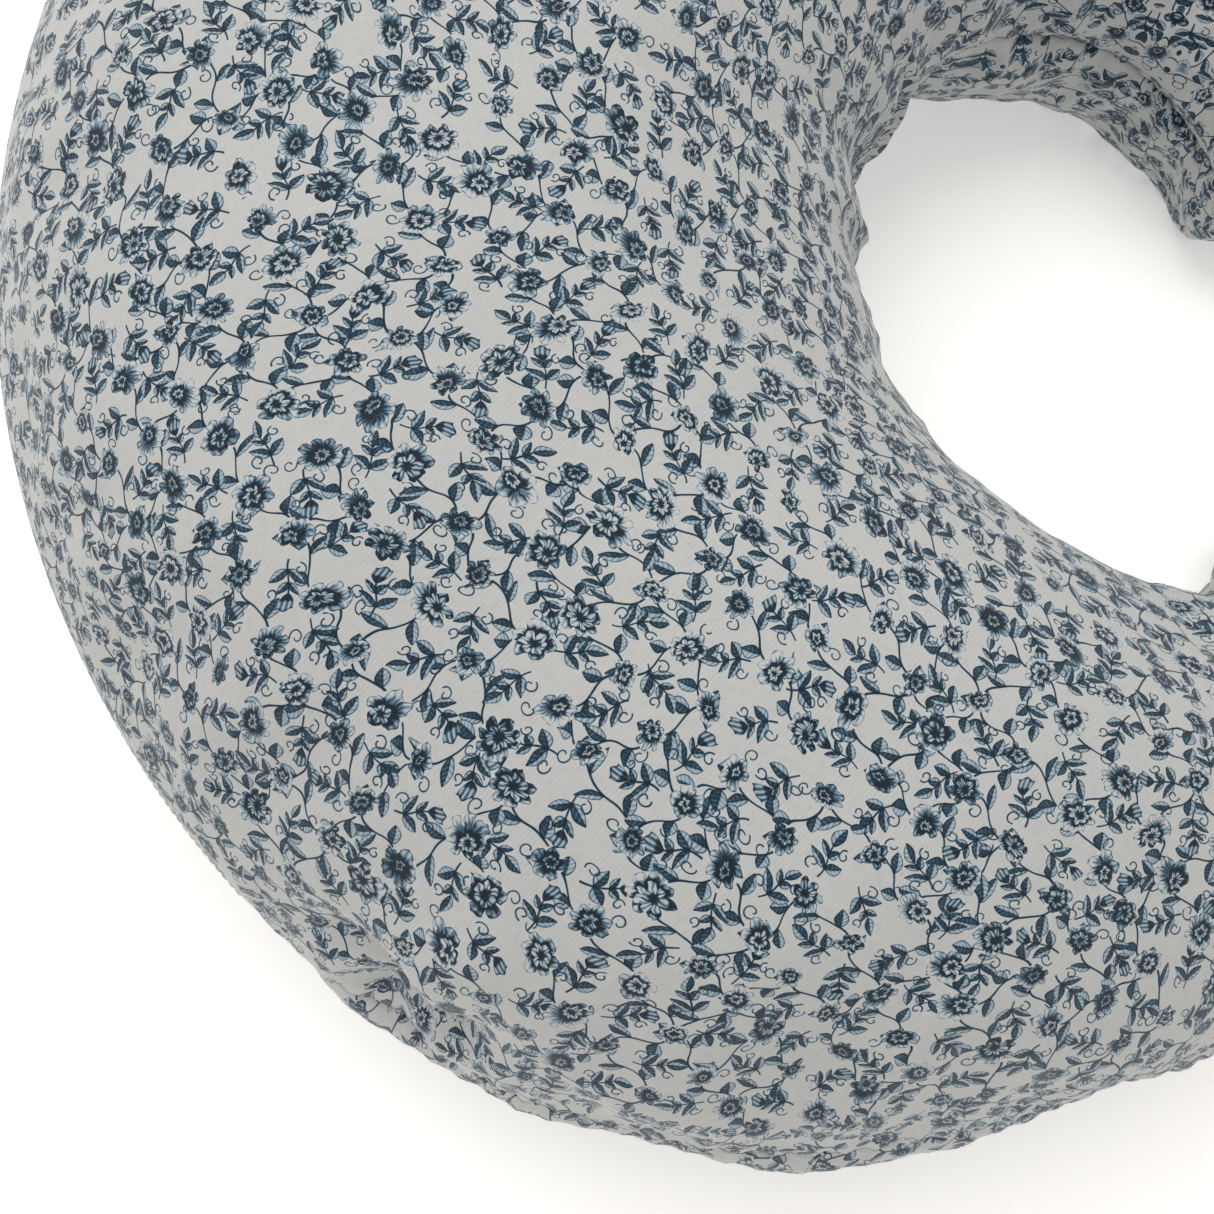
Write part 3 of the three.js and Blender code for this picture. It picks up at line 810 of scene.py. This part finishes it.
def floral(coords):
    """How much ink the print lays down, from 0 to about 1, for cloth coordinates in mm."""
    broad = flat_noises(coords, 90.0)
    fine = flat_noises(coords, 6.5)
    rough = flat_noises(coords, 2.4, 1.0)
    px, py = (at * PRINT_SCALE for at in parts(coords)[:2])
    x = px + broad[0].madd(14.0, -7.0) + fine[0].madd(1.5, -0.75)
    y = py + broad[1].madd(14.0, -7.0) + fine[1].madd(1.5, -0.75)
    x, y = turn(x, y, 0.5)
    main = Lattice(x, y, MOTIF_PITCH, jitter=0.32, seed=3.0)
    ink = trail(rough[2] * 0.04, main, across=True, share=0.85)
    ink = trail(ink, main, across=False, share=0.55)
    half = MOTIF_PITCH / 2
    between = Lattice(x + half, y + half, MOTIF_PITCH, jitter=0.22, seed=11.0)
    bx, by, lot = between.own()
    sx, sy = turn(bx, by, lot[0] * TURN)
    ink = branch(ink, sx, sy, lot[1].madd(1.0, 2.0), lot[2].more(0.5))
    ink = ink.max(curl(sx + 3.4, sy - 2.8, 2.0) * STEM_TONE)
    ink = ink.max(curl(3.0 - sx, sy + 3.4, 1.7) * STEM_TONE)
    fx, fy, lot = main.own()
    fx, fy = turn(fx, fy, lot[0] * TURN)
    size = lot[1].madd(2.6, 3.8)
    ink = ink.max(curl(fx - size - 1.6, fy, 2.2) * 0.8)
    petals = (lot[2] * 3.99).floor() + 5.0
    heart = (lot[2] * 7.0).fract().madd(0.34, 0.34)
    lean = (lot[1] * 5.0).fract().madd(0.34, -0.05)
    squash = (lot[1] * 9.0).fract().madd(0.35, 1.0)
    shade = (lot[0] * 13.0).fract().madd(0.3, -0.1)
    fx = fx + rough[0].madd(1.9, -0.95)
    fy = fy * squash + rough[1].madd(1.9, -0.95)
    cover, tone = bloom(fx, fy, size, petals, heart, lean, shade)
    r, _ = polar(fx, fy)
    ink = over(ink, cover, tone, inside(size * 0.95 - r))
    return ink * rough[2].madd(0.5, 0.82)


# ---- Materials -------------------------------------------------------------------------------

def srgb(red, green, blue):
    """A colour from 0-255 display values, as the linear numbers that shaders take."""
    parts_of = []
    for value in (red, green, blue):
        v = value / 255
        parts_of.append(v / 12.92 if v < 0.04045 else ((v + 0.055) / 1.055) ** 2.4)
    return (*parts_of, 1.0)


def colour_ramp(factor, *stops):
    """A colour for a number, through (number, colour) stops."""
    node = new_node(factor, "ValToRGB")
    ramp = node.color_ramp
    while len(ramp.elements) < len(stops):
        ramp.elements.new(0.5)
    for element, (at, colour) in zip(ramp.elements, stops):
        element.position = at
        element.color = srgb(*colour)
    feed(node.inputs[0], factor)
    return node.outputs[0]


def tint(colour, amount):
    """Lightens or darkens a colour by a factor that varies over the surface."""
    node = new_node(colour, "Mix", data_type="RGBA", blend_type="MULTIPLY")
    grey = new_node(colour, "CombineColor")
    for socket in grey.inputs:
        feed(socket, amount)
    for slot, item in ((0, 1.0), (6, colour), (7, grey.outputs[0])):
        feed(node.inputs[slot], item)
    return node.outputs[2]


def coordinates(tree, layer):
    """Places on the flat cloth from a UV layer, or, where layer is None, places in the
    piece's own frame; both in millimetres."""
    if layer:
        return new_node(tree, "UVMap", uv_map=layer).outputs[0]
    scale = new_node(tree, "VectorMath", operation="SCALE")
    scale.inputs["Scale"].default_value = 1 / MM
    feed(scale.inputs[0], new_node(tree, "TexCoord").outputs["Object"])
    return scale.outputs[0]


def material(layer=None, strength=1.0, **sockets):
    """Turns a recipe into a Principled material of its name. The recipe takes coordinates,
    and gives the colour, the factor and the roughness, where these last two vary, and a
    height from 0 to 1 with its depth in millimetres, for the bump. sockets are constants."""
    def build(recipe):
        look = bpy.data.materials.new(recipe.__name__)
        look.use_nodes = True
        shader = look.node_tree.nodes["Principled BSDF"]
        for key, value in sockets.items():
            shader.inputs[key.replace("_", " ")].default_value = value
        colour, shade, roughness, height, depth = recipe(coordinates(look.node_tree, layer))
        feed(shader.inputs["Base Color"], tint(colour, shade) if shade else colour)
        if roughness:
            feed(shader.inputs["Roughness"], roughness)
        node = new_node(shader, "Bump")
        for slot, item in (("Strength", strength), ("Distance", depth * MM), ("Height", height)):
            feed(node.inputs[slot], item)
        feed(shader.inputs["Normal"], node.outputs[0])
        return look
    return build


def weave(coords, pitch, twill):
    """The height of woven threads, about 0 to 1. twill slants them."""
    x, y, _ = parts(coords)
    warp, weft = ((way * (TURN / pitch)).sin() for way in (x, y))
    slant = ((x + y) * (TURN / pitch / 2)).sin()
    return (warp * weft).madd(0.25 * (1 - twill), 0.5) + slant * (0.3 * twill)


def arc_coordinates(coords):
    """Distance along the zip's circle, and up from the chain's line."""
    x, y, z = parts(coords)
    y = y - ARC_Y
    return x.arctan2(y) * ARC_RADIUS, z - ZIP_HEIGHT


@material("cloth", 0.9, Roughness=0.85, Sheen_Weight=0.25, Sheen_Roughness=0.5,
          Specular_IOR_Level=0.25)
def printed_cotton(coords):
    ink = floral(coords)
    threads = weave(coords, 0.75, 0.7)
    slub = flat_noise(coords, 1.6)
    broad = flat_noise(coords, 90.0, 1.0)
    colour = colour_ramp(ink, (0.0, (189, 188, 185)), (0.16, (152, 166, 174)),
                         (0.42, (84, 113, 130)), (0.7, (27, 56, 74)), (1.0, (9, 25, 37)))
    shade = threads.madd(0.13, 0.84) + slub * 0.08 + broad * 0.05
    return colour, shade, ink.madd(-0.12, 0.88), threads + slub * 0.5, 0.09


@material("seam", Roughness=0.8, Sheen_Weight=0.2, Specular_IOR_Level=0.25)
def overlock_thread(coords):
    """Raw cloth edge wrapped in loops of thread; coordinates are along and across."""
    x, y, _ = parts(coords)
    rough = flat_noise(coords, 0.8)
    loops = ((x + y * 0.5) * (TURN / 2.4)).sin().max(((x - y * 0.35) * (TURN / 2.4)).sin())
    needle = (y - 2.6).abs().ramp(0.2, 0.45, 1.0, 0.0)
    thread = loops.ramp(0.72, 0.95).max(needle)
    colour = colour_ramp(thread.mix(rough, 0.25), (0.0, (150, 155, 160)), (1.0, (226, 224, 219)))
    return colour, rough.madd(0.2, 0.85), thread.madd(-0.15, 0.85), thread + rough * 0.2, 0.25


@material(Roughness=0.6, Sheen_Weight=0.3, Specular_IOR_Level=0.35)
def sewing_thread(coords):
    x, y, z = parts(coords)
    ply = ((x + y * 0.6 + z * 2.2) * (TURN / 0.42)).sin()
    fuzz = solid_noise(coords, 0.2)
    # Darker in the grooves between the plies and lighter on their tops, following the bump's
    # height: painted shade.
    colour = colour_ramp(ply.madd(0.3, 0.5), (0.0, (178, 180, 180)), (1.0, (222, 221, 217)))
    height = ply.madd(0.5, 0.5) + fuzz * 0.3
    return colour, fuzz.madd(0.2, 0.9), fuzz.madd(0.2, 0.5), height, 0.06


@material(Roughness=0.8, Sheen_Weight=0.2, Specular_IOR_Level=0.3)
def zip_tape(coords):
    along, up = arc_coordinates(coords)
    rise = up.abs()
    slant = (rise / 1.6).fract().more(0.5).madd(2.0, -1.0)
    ribs = ((along + rise * slant) * (TURN / 0.8)).sin()
    edge = rise.ramp(10.0, 10.4, 0.0, 1.0)
    guide = (rise - 3.2).abs().ramp(0.25, 0.5, 1.0, 0.0)
    # The ribs are darker in their grooves and lighter on their tops, following the bump's height:
    # painted shade.
    colour = colour_ramp(ribs.madd(0.35, 0.5) + guide * 0.2 - edge * 0.15,
                         (0.0, (112, 124, 137)), (1.0, (160, 169, 178)))
    fuzz = solid_noise(coords, 0.5)
    height = ribs.madd(0.4, 0.5) + guide + edge * 0.6
    return colour, fuzz.madd(0.2, 0.9), fuzz.madd(0.15, 0.74), height, 0.12


@material(Roughness=0.4, Specular_IOR_Level=0.5)
def zip_coil(coords):
    _, up = arc_coordinates(coords)
    wear = solid_noise(coords, 3.0)
    grain = solid_noise(coords, 0.15)
    # Lighter away from the chain's middle line and darker where the two coils mesh: painted shade.
    crest_light = up.abs().ramp(0.6, 1.8)
    colour = colour_ramp(wear * 0.5 + crest_light * 0.4, (0.0, (92, 105, 119)), (1.0, (150, 161, 172)))
    return colour, grain.madd(0.12, 0.94), wear.madd(0.25, 0.28), grain, 0.02


@material(Metallic=1.0, Roughness=0.3)
def zip_metal(coords):
    cloudy = solid_noise(coords, 2.5, 3.0)
    scratch = new_node(coords, "Mapping")
    scratch.inputs["Scale"].default_value = (1.0, 1.0, 9.0)
    feed(scratch.inputs["Vector"], coords)
    lines = solid_noise(scratch.outputs[0], 0.9, 4.0)
    colour = colour_ramp(cloudy, (0.25, (122, 124, 128)), (0.75, (154, 156, 159)))
    return colour, lines.madd(0.15, 0.9), cloudy.madd(0.12, 0.16) + lines * 0.1, lines, 0.015


@material("cloth", Roughness=0.9, Sheen_Weight=0.3, Specular_IOR_Level=0.2)
def liner_cotton(coords):
    threads = weave(coords, 0.9, 0.0)
    slub = flat_noise(coords, 3.0, 3.0)
    creased = flat_noise(coords, 26.0, 3.0)
    # Darker where the crease noise is low, in the valleys of its bump: painted shade in the
    # creases.
    colour = colour_ramp(creased, (0.3, (224, 220, 211)), (0.7, (240, 237, 230)))
    shade = threads.madd(0.1, 0.88) + slub * 0.07
    return colour, shade, slub.madd(0.12, 0.82), threads * 0.5 + slub * 0.4 + creased, 0.25


@material(Roughness=0.5, Sheen_Weight=0.15, Specular_IOR_Level=0.4)
def label_tape(coords):
    along, up = arc_coordinates(coords)
    satin = (up * (TURN / 0.35)).sin() * (along * (TURN / 1.4) + up * 3.0).sin()
    fuzz = solid_noise(coords, 0.8)
    # Lighter on the satin's raised floats and darker between them, following the bump's height:
    # painted shade.
    colour = colour_ramp(satin.madd(0.4, 0.5), (0.0, (226, 224, 218)), (1.0, (246, 245, 241)))
    return colour, fuzz.madd(0.1, 0.93), fuzz.madd(0.2, 0.4), satin.madd(0.5, 0.5), 0.05


@material(Roughness=0.75, Sheen_Weight=0.5, Specular_IOR_Level=0.3, Subsurface_Weight=0.15)
def polyester_fibre(coords):
    tufts = solid_noise(coords, 1 / 0.12, 4.0, distortion=2.5)
    strands = solid_noise(coords, 0.9, 5.0)
    hair = (tufts * 60.0 + strands * 6.0).sin().abs()
    # Lighter on the raised tufts and darker in the hollows between them, following the bump's
    # height: painted shade.
    colour = colour_ramp(tufts + hair * 0.15, (0.3, (224, 224, 222)), (0.8, (249, 249, 247)))
    height = tufts + hair * 0.3 + strands * 0.3
    return colour, strands.madd(0.15, 0.9), strands.madd(0.2, 0.65), height, 1.2


@material(Roughness=0.65, Specular_IOR_Level=0.2, Emission_Color=(1.0, 0.985, 0.97, 1),
          Emission_Strength=0.34)
def pale_floor(coords):
    soft = solid_noise(coords, 180.0, 2.0)
    colour = colour_ramp(soft, (0.3, (246, 243, 240)), (0.7, (249, 247, 244)))
    return colour, None, None, solid_noise(coords, 2.0, 3.0), 0.05


# ---- Pieces ----------------------------------------------------------------------------------

COVER_THICKNESS, LINER_THICKNESS = 0.9, 0.7
LINER_SHARE, FILL_SHARE = 0.85, 0.8  # how far the inner layers follow the cover's shape
CLOSING_END = math.radians(18)  # half the run of the liner's closing stitch


def finish_piece(piece, look, slot, *nodes, body="pillow"):
    piece.data.materials.clear()
    piece.data.materials.append(look)
    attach(piece, body)
    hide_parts(*nodes)
    return piece


def outward(grid, half):
    """Unit normals away from the filling, with the arm tips' own at the two ends."""
    normal = normals_of(grid) * half
    for row, inner in ((0, 3), (-1, -4)):
        normal[row] = unit(grid[row, 0] - grid[inner].mean(0))
    return normal


def cloth_faces(layer, opening, share, offsets):
    """The outer faces of a layer's two panels, moved by their offsets and sewn together."""
    plain = {name: cloth_grid(STATIONS, FRACTIONS, half, layer, opening)
             for name, half in HALVES.items()}
    faces = {}
    for name, half in HALVES.items():
        faces[name] = plain[name] + outward(plain[name], half) * (offsets[name] * share)[..., None]
    sew(faces["top"], faces["bottom"], plain["top"], plain["bottom"])
    for face in faces.values():
        face[..., 2] = np.maximum(face[..., 2], layer[1])
    return faces


def cloth_panel(name, half, face, lowest, thickness, flat):
    """A closed shell of cloth: the face, its back and its rims."""
    back = face - outward(face, half) * thickness
    back[..., 2] = np.maximum(back[..., 2], lowest + thickness * 0.6)
    rows, columns = face.shape[:2]
    count = rows * columns
    faces = [grid_faces(rows, columns, half > 0), grid_faces(rows, columns, half < 0, count)]
    for column in (0, columns - 1):
        edge = np.arange(rows) * columns + column
        faces.append(np.stack([edge[:-1], edge[1:], edge[1:] + count, edge[:-1] + count], axis=1))
    flat = np.concatenate([flat.reshape(-1, 2)] * 2)
    return from_grids(name, (face, back), faces, 2e-6, flat)


def filling(name, offsets):
    """The loose fibre inside the liner, as one closed body."""
    grids, faces = [], []
    for k, (half, offset) in enumerate(offsets):
        grid = cloth_grid(STATIONS.thin(2), FRACTIONS[::2], half, FILL)
        lump = np.abs(lumps(grid, 46, 21)) * 1.6 + np.abs(lumps(grid, 19, 22)) * 0.7
        column = np.arange(grid.shape[1])
        seam = np.minimum(column, column[::-1])[None, :] / 6
        moved = offset[::2, ::2] - lump * np.clip(seam, 0, 1)
        grid = grid + outward(grid, half) * moved[..., None]
        grid[..., 2] = np.maximum(grid[..., 2], FILL[1])
        rows, columns = grid.shape[:2]
        grids.append(grid)
        faces.append(grid_faces(rows, columns, half > 0, k * rows * columns))
    grids[1][:, [0, -1]] = grids[0][:, [0, -1]]
    return from_grids(name, grids, faces, 2e-5)


def seam_strip(name, out_layer, in_layer, follow, is_outer):
    """A seam allowance from one flank, round a tip, the hole and the other tip."""
    ends = np.array([0.0, 1.0])
    edges = [cloth_grid(STATIONS, ends, 1, layer) + follow for layer in (out_layer, in_layer)]
    keep = is_outer(STATIONS)
    middle, last = len(keep) // 2, len(keep) - 1
    route = [(k, 0) for k in range(middle, 0, -1) if keep[k]]
    route += [(k, 1) for k in range(last + 1)]
    route += [(k, 0) for k in range(last - 1, middle, -1) if keep[k]]
    rows = np.array([[edge[k, f] for edge in edges] for k, f in route])
    out, inner = rows[:, 0], rows[:, 1]
    run = run_of(inner)
    inner[:, 2] = out[:, 2] + 0.35 * wander(run, 4.5, 5) + 0.25 * wander(run, 11, 6)
    steps = np.linspace(0, 1, 5)
    sheet = out[:, None] + (inner - out)[:, None] * steps[None, :, None]
    up = np.array([0, 0, 0.55])
    ring = np.concatenate([sheet - up, (sheet + up)[:, ::-1]], axis=1)
    count, sides = ring.shape[:2]
    piece = make_object(name, ring.reshape(-1, 3), tube_faces(count, sides))
    width = np.linalg.norm(inner - out, axis=-1)[:, None] * np.concatenate([steps, steps[::-1]])
    across = np.broadcast_to(width, (count, sides))
    along = np.broadcast_to(run[:, None], (count, sides))
    set_coordinates(piece, "seam", np.stack([along, across], axis=-1).reshape(-1, 2))
    return weld(piece, 1e-6)


def sweep(name, paths, radius, sides, flat=1.0):
    """Round tubes along lists of points, closed at their ends."""
    points, faces = [], []
    for path in paths:
        path = np.asarray(path, float)
        tangent = unit(np.gradient(path, axis=0))
        radial = path - np.array([0, ARC_Y, 0])
        radial[:, 2] = 0
        first = np.cross(tangent, unit(radial))
        thin = np.linalg.norm(first, axis=-1, keepdims=True)
        first = np.where(thin > 0.2, first / np.maximum(thin, 1e-6), (0, 0, 1.0))
        second = np.cross(tangent, first)
        round_angles = np.arange(sides) / sides * TURN
        start = sum(len(p) for p in points)
        ring = path[:, None] + radius * (
            first[:, None] * np.cos(round_angles)[None, :, None]
            + flat * second[:, None] * np.sin(round_angles)[None, :, None])
        points.append(ring.reshape(-1, 3))
        faces += tube_faces(len(path), sides, start)
    return weld(make_object(name, np.concatenate(points), faces), 1e-7)


COIL_PITCH, COIL_WIRE, COIL_STEPS = 1.4, 0.27, 10


def coil(name, sign):
    """One side of the zip's chain: a flattened helix of nylon along the tape's edge."""
    turns = int(2 * CHAIN_END * ARC_RADIUS / COIL_PITCH)
    t = np.arange(turns * COIL_STEPS + 1) / COIL_STEPS
    phase = TURN * (t + (0.25 if sign > 0 else 0.75))
    psi = -CHAIN_END + t * COIL_PITCH / ARC_RADIUS
    z = sign * (1.42 + 0.64 * power(np.cos(phase)))
    depth = -1.1 + 0.6 * np.sin(phase)
    return sweep(name, [zip_point(psi, depth, z)], COIL_WIRE, 5)


def stitches(name, end, z, depth, length, pitch, thick, slant=0.0):
    """A row of separate lockstitches that dip into the cloth at both ends."""
    count = int(2 * end * ARC_RADIUS / pitch)
    paths = []
    for k in range(count):
        t = np.linspace(-0.5, 0.5, 7)
        middle = -end + (k + 0.5) * pitch / ARC_RADIUS
        dip = depth - thick * 1.3 * (2 * np.abs(t)) ** 3
        paths.append(zip_point(middle + t * length / ARC_RADIUS, dip, z + slant * t))
    return sweep(name, paths, thick, 6, 0.8)


def rounded_copy(name, node, width):
    """A carried-over solid with its edges rounded, width in millimetres."""
    piece = bpy.data.objects.new(name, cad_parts[node].data.copy())
    bpy.context.scene.collection.objects.link(piece)
    weld(piece, 1e-6)
    with editing(piece) as bm:
        flat = [e for e in bm.edges if len(e.link_faces) == 2 and e.calc_face_angle(0) < 0.02]
        bmesh.ops.dissolve_edges(bm, edges=flat, use_verts=False)
    bevel = piece.modifiers.new("bevel", "BEVEL")
    bevel.width = width * MM
    bevel.segments = 3
    bevel.limit_method = "ANGLE"
    bevel.angle_limit = math.radians(28)
    apply_modifiers(piece)
    with editing(piece) as bm:
        bmesh.ops.triangulate(bm, faces=[f for f in bm.faces if len(f.verts) > 4])
    piece.data.polygons.foreach_set("use_smooth", [True] * len(piece.data.polygons))
    return piece


def care_label(name):
    """A blank woven label sewn into the liner's seam, with a slight curl."""
    psi = np.radians(np.linspace(18.5, 22.5, 15))[:, None]
    down = np.linspace(0, 1, 19)[None, :]
    curl_out = 0.9 * down ** 2 * np.sin(np.linspace(0, math.pi, 15))[:, None] + 0.35 * down
    z = -2 - 18 * down + 0 * psi
    sheets = [zip_point(psi, -7.45 + curl_out + rise, z) for rise in (0.0, 0.28)]
    rows, columns = sheets[0].shape[:2]
    count = rows * columns
    faces = [grid_faces(rows, columns), grid_faces(rows, columns, True, count)]
    number = np.arange(count).reshape(rows, columns)
    edge = np.concatenate([number[:, 0], number[-1, 1:], number[-2::-1, -1], number[0, -2:0:-1]])
    after = np.roll(edge, -1)
    faces.append(np.stack([edge, after, after + count, edge + count], axis=1))
    return from_grids(name, sheets, faces, 1e-7)


simulated = simulate()
offsets, patterns = {}, {}
for name, half in HALVES.items():
    grid = cloth_grid(STATIONS, FRACTIONS, half, COVER)
    offset = detail(half, grid)
    if simulated:
        offset = offset + SIM_SHARE * carry_over(grid, *simulated)
    offsets[name] = offset * steady(half, grid)
    patterns[name] = flat_pattern(grid)

cover_faces = cloth_faces(COVER, ZIP_OPENING, 1.0, offsets)
liner_faces = cloth_faces(LINER, 0.0, LINER_SHARE, offsets)
for name, half in HALVES.items():
    cover = cloth_panel(f"cover_{name}", half, cover_faces[name], COVER[1], COVER_THICKNESS,
                        patterns[name])
    finish_piece(cover, printed_cotton, "printed_cotton", f"cover_{name}_panel")
    liner = cloth_panel(f"liner_{name}", half, liner_faces[name], LINER[1], LINER_THICKNESS,
                        patterns[name] * 0.96)
    finish_piece(liner, liner_cotton, "liner_cotton", f"liner_{name}_panel")

fill = filling("fibre_stuffing",
               [(half, offsets[name] * FILL_SHARE) for name, half in HALVES.items()])
finish_piece(fill, polyester_fibre, "polyester_fibre", "fibre_fill")

plain = cloth_grid(STATIONS, FRACTIONS, 1, COVER)
follow = (cover_faces["top"] + cover_faces["bottom"])[:, [0, -1]] / 2 - plain[:, [0, -1]]
strip = seam_strip("cover_overlock", *COVER_ALLOWANCE, follow, lambda s: s.zipped(TAPE_END) < 1)
finish_piece(strip, overlock_thread, "overlock_thread", "cover_seam_overlock")
strip = seam_strip("liner_overlock", *LINER_ALLOWANCE, follow * LINER_SHARE,
                   lambda s: (s.psi() > CLOSING_END) | (s.round > 0))
finish_piece(strip, overlock_thread, "liner_cotton", "liner_seam_overlock")

for place, sign in (("upper", 1), ("lower", -1)):
    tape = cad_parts[f"zip_tape_{place}"]
    tape.data.materials.clear()
    tape.data.materials.append(zip_tape)
    finish_piece(coil(f"coil_{place}", sign), zip_coil, "zip_coil", f"zip_coil_{place}")
    row = stitches(f"topstitch_{place}", MOUTH_END, z=sign * 6.6, depth=0.12, length=2.5,
                   pitch=2.9, thick=0.24)
    finish_piece(row, sewing_thread, "sewing_thread", f"zip_stitch_{place}")
    stop = rounded_copy(f"top_stop_{place}", f"zip_top_stop_{place}", 0.25)
    finish_piece(stop, zip_metal, "zip_metal", f"zip_top_stop_{place}")
for name, node, edge, body in (("bottom_stop", "zip_bottom_stop", 0.3, "pillow"),
                               ("slider", "zip_slider", 0.3, "slider"),
                               ("pull", "zip_pull_tab", 0.28, "pull_tab")):
    finish_piece(rounded_copy(name, node, edge), zip_metal, "zip_metal", node, body=body)

row = stitches("closing_stitch", CLOSING_END, z=0.0, depth=-7.3, length=2.6, pitch=3.0,
               thick=0.28, slant=1.0)
finish_piece(row, sewing_thread, "sewing_thread", "liner_closing_stitch")
finish_piece(care_label("care_label"), label_tape, "label_tape", "liner_care_label")


# ---- Floor, light and camera -----------------------------------------------------------------

def add_floor(reach=4000.0, steps=40, spokes=96):
    ring = np.arange(spokes + 1) / spokes * TURN
    radii = np.linspace(0.02, 1, steps) ** 2 * reach
    points = np.stack([np.outer(radii, np.cos(ring)), np.outer(radii, np.sin(ring)),
                       np.full((steps, spokes + 1), -0.4)], axis=-1)
    faces = grid_faces(steps, spokes + 1).tolist() + [list(range(spokes))]
    floor = weld(make_object("floor", points.reshape(-1, 3), faces))
    floor.data.materials.append(pale_floor)


def add_light(name, place, size, power_watts, colour, aim=(0, 0, 0.05)):
    """A round soft light aimed at the pillow, in metres."""
    lamp = bpy.data.lights.new(name, "AREA")
    lamp.shape = "DISK"
    lamp.size = size
    lamp.energy = power_watts
    lamp.color = colour
    holder = bpy.data.objects.new(name, lamp)
    bpy.context.scene.collection.objects.link(holder)
    holder.location = place
    holder.rotation_euler = (Vector(aim) - Vector(place)).to_track_quat("-Z", "Y").to_euler()


def add_camera(azimuth, elevation, distance, target, roll, view_angle):
    """A camera looking at a target; the distance and the target are in metres."""
    a, e, r = (math.radians(v) for v in (azimuth, elevation, roll))
    back = Vector((math.sin(a) * math.cos(e), -math.cos(a) * math.cos(e), math.sin(e)))
    right = Vector((math.cos(a), math.sin(a), 0))
    up = back.cross(right)
    c, s = math.cos(r), math.sin(r)
    right, up = right * c + up * s, up * c - right * s
    lens = bpy.data.cameras.new("camera")
    lens.sensor_width = 36
    lens.lens = 18 / math.tan(math.radians(view_angle) / 2)
    lens.clip_start, lens.clip_end = 0.01, 50
    camera = bpy.data.objects.new("camera", lens)
    bpy.context.scene.collection.objects.link(camera)
    turned = Matrix((right, up, back)).transposed().to_4x4()
    turned.translation = Vector(target) + back * distance
    camera.matrix_world = turned
    bpy.context.scene.camera = camera


add_floor()
add_light("window", (0.65, 0.5, 1.85), size=1.9, power_watts=29, colour=(1.0, 0.985, 0.97))
add_light("bounce", (-1.5, -0.9, 1.3), size=1.6, power_watts=4.5, colour=(1.0, 0.98, 0.96))
world = bpy.data.worlds.new("room")
world.use_nodes = True
sky = world.node_tree
place = sky.nodes.new("ShaderNodeTexCoord")
height = parts(place.outputs["Generated"])[2]
shade = height.ramp(0.0, 0.6, 0.84, 0.45)
feed(sky.nodes["Background"].inputs["Strength"], shade)
sky.nodes["Background"].inputs["Color"].default_value = (1.0, 0.99, 0.98, 1)
bpy.context.scene.world = world
bpy.context.scene.view_settings.view_transform = "Standard"
add_camera(azimuth=-114.685, elevation=73.276, distance=0.454321,
           target=(-0.111432, 0.067073, 0.080), roll=24.432, view_angle=44)
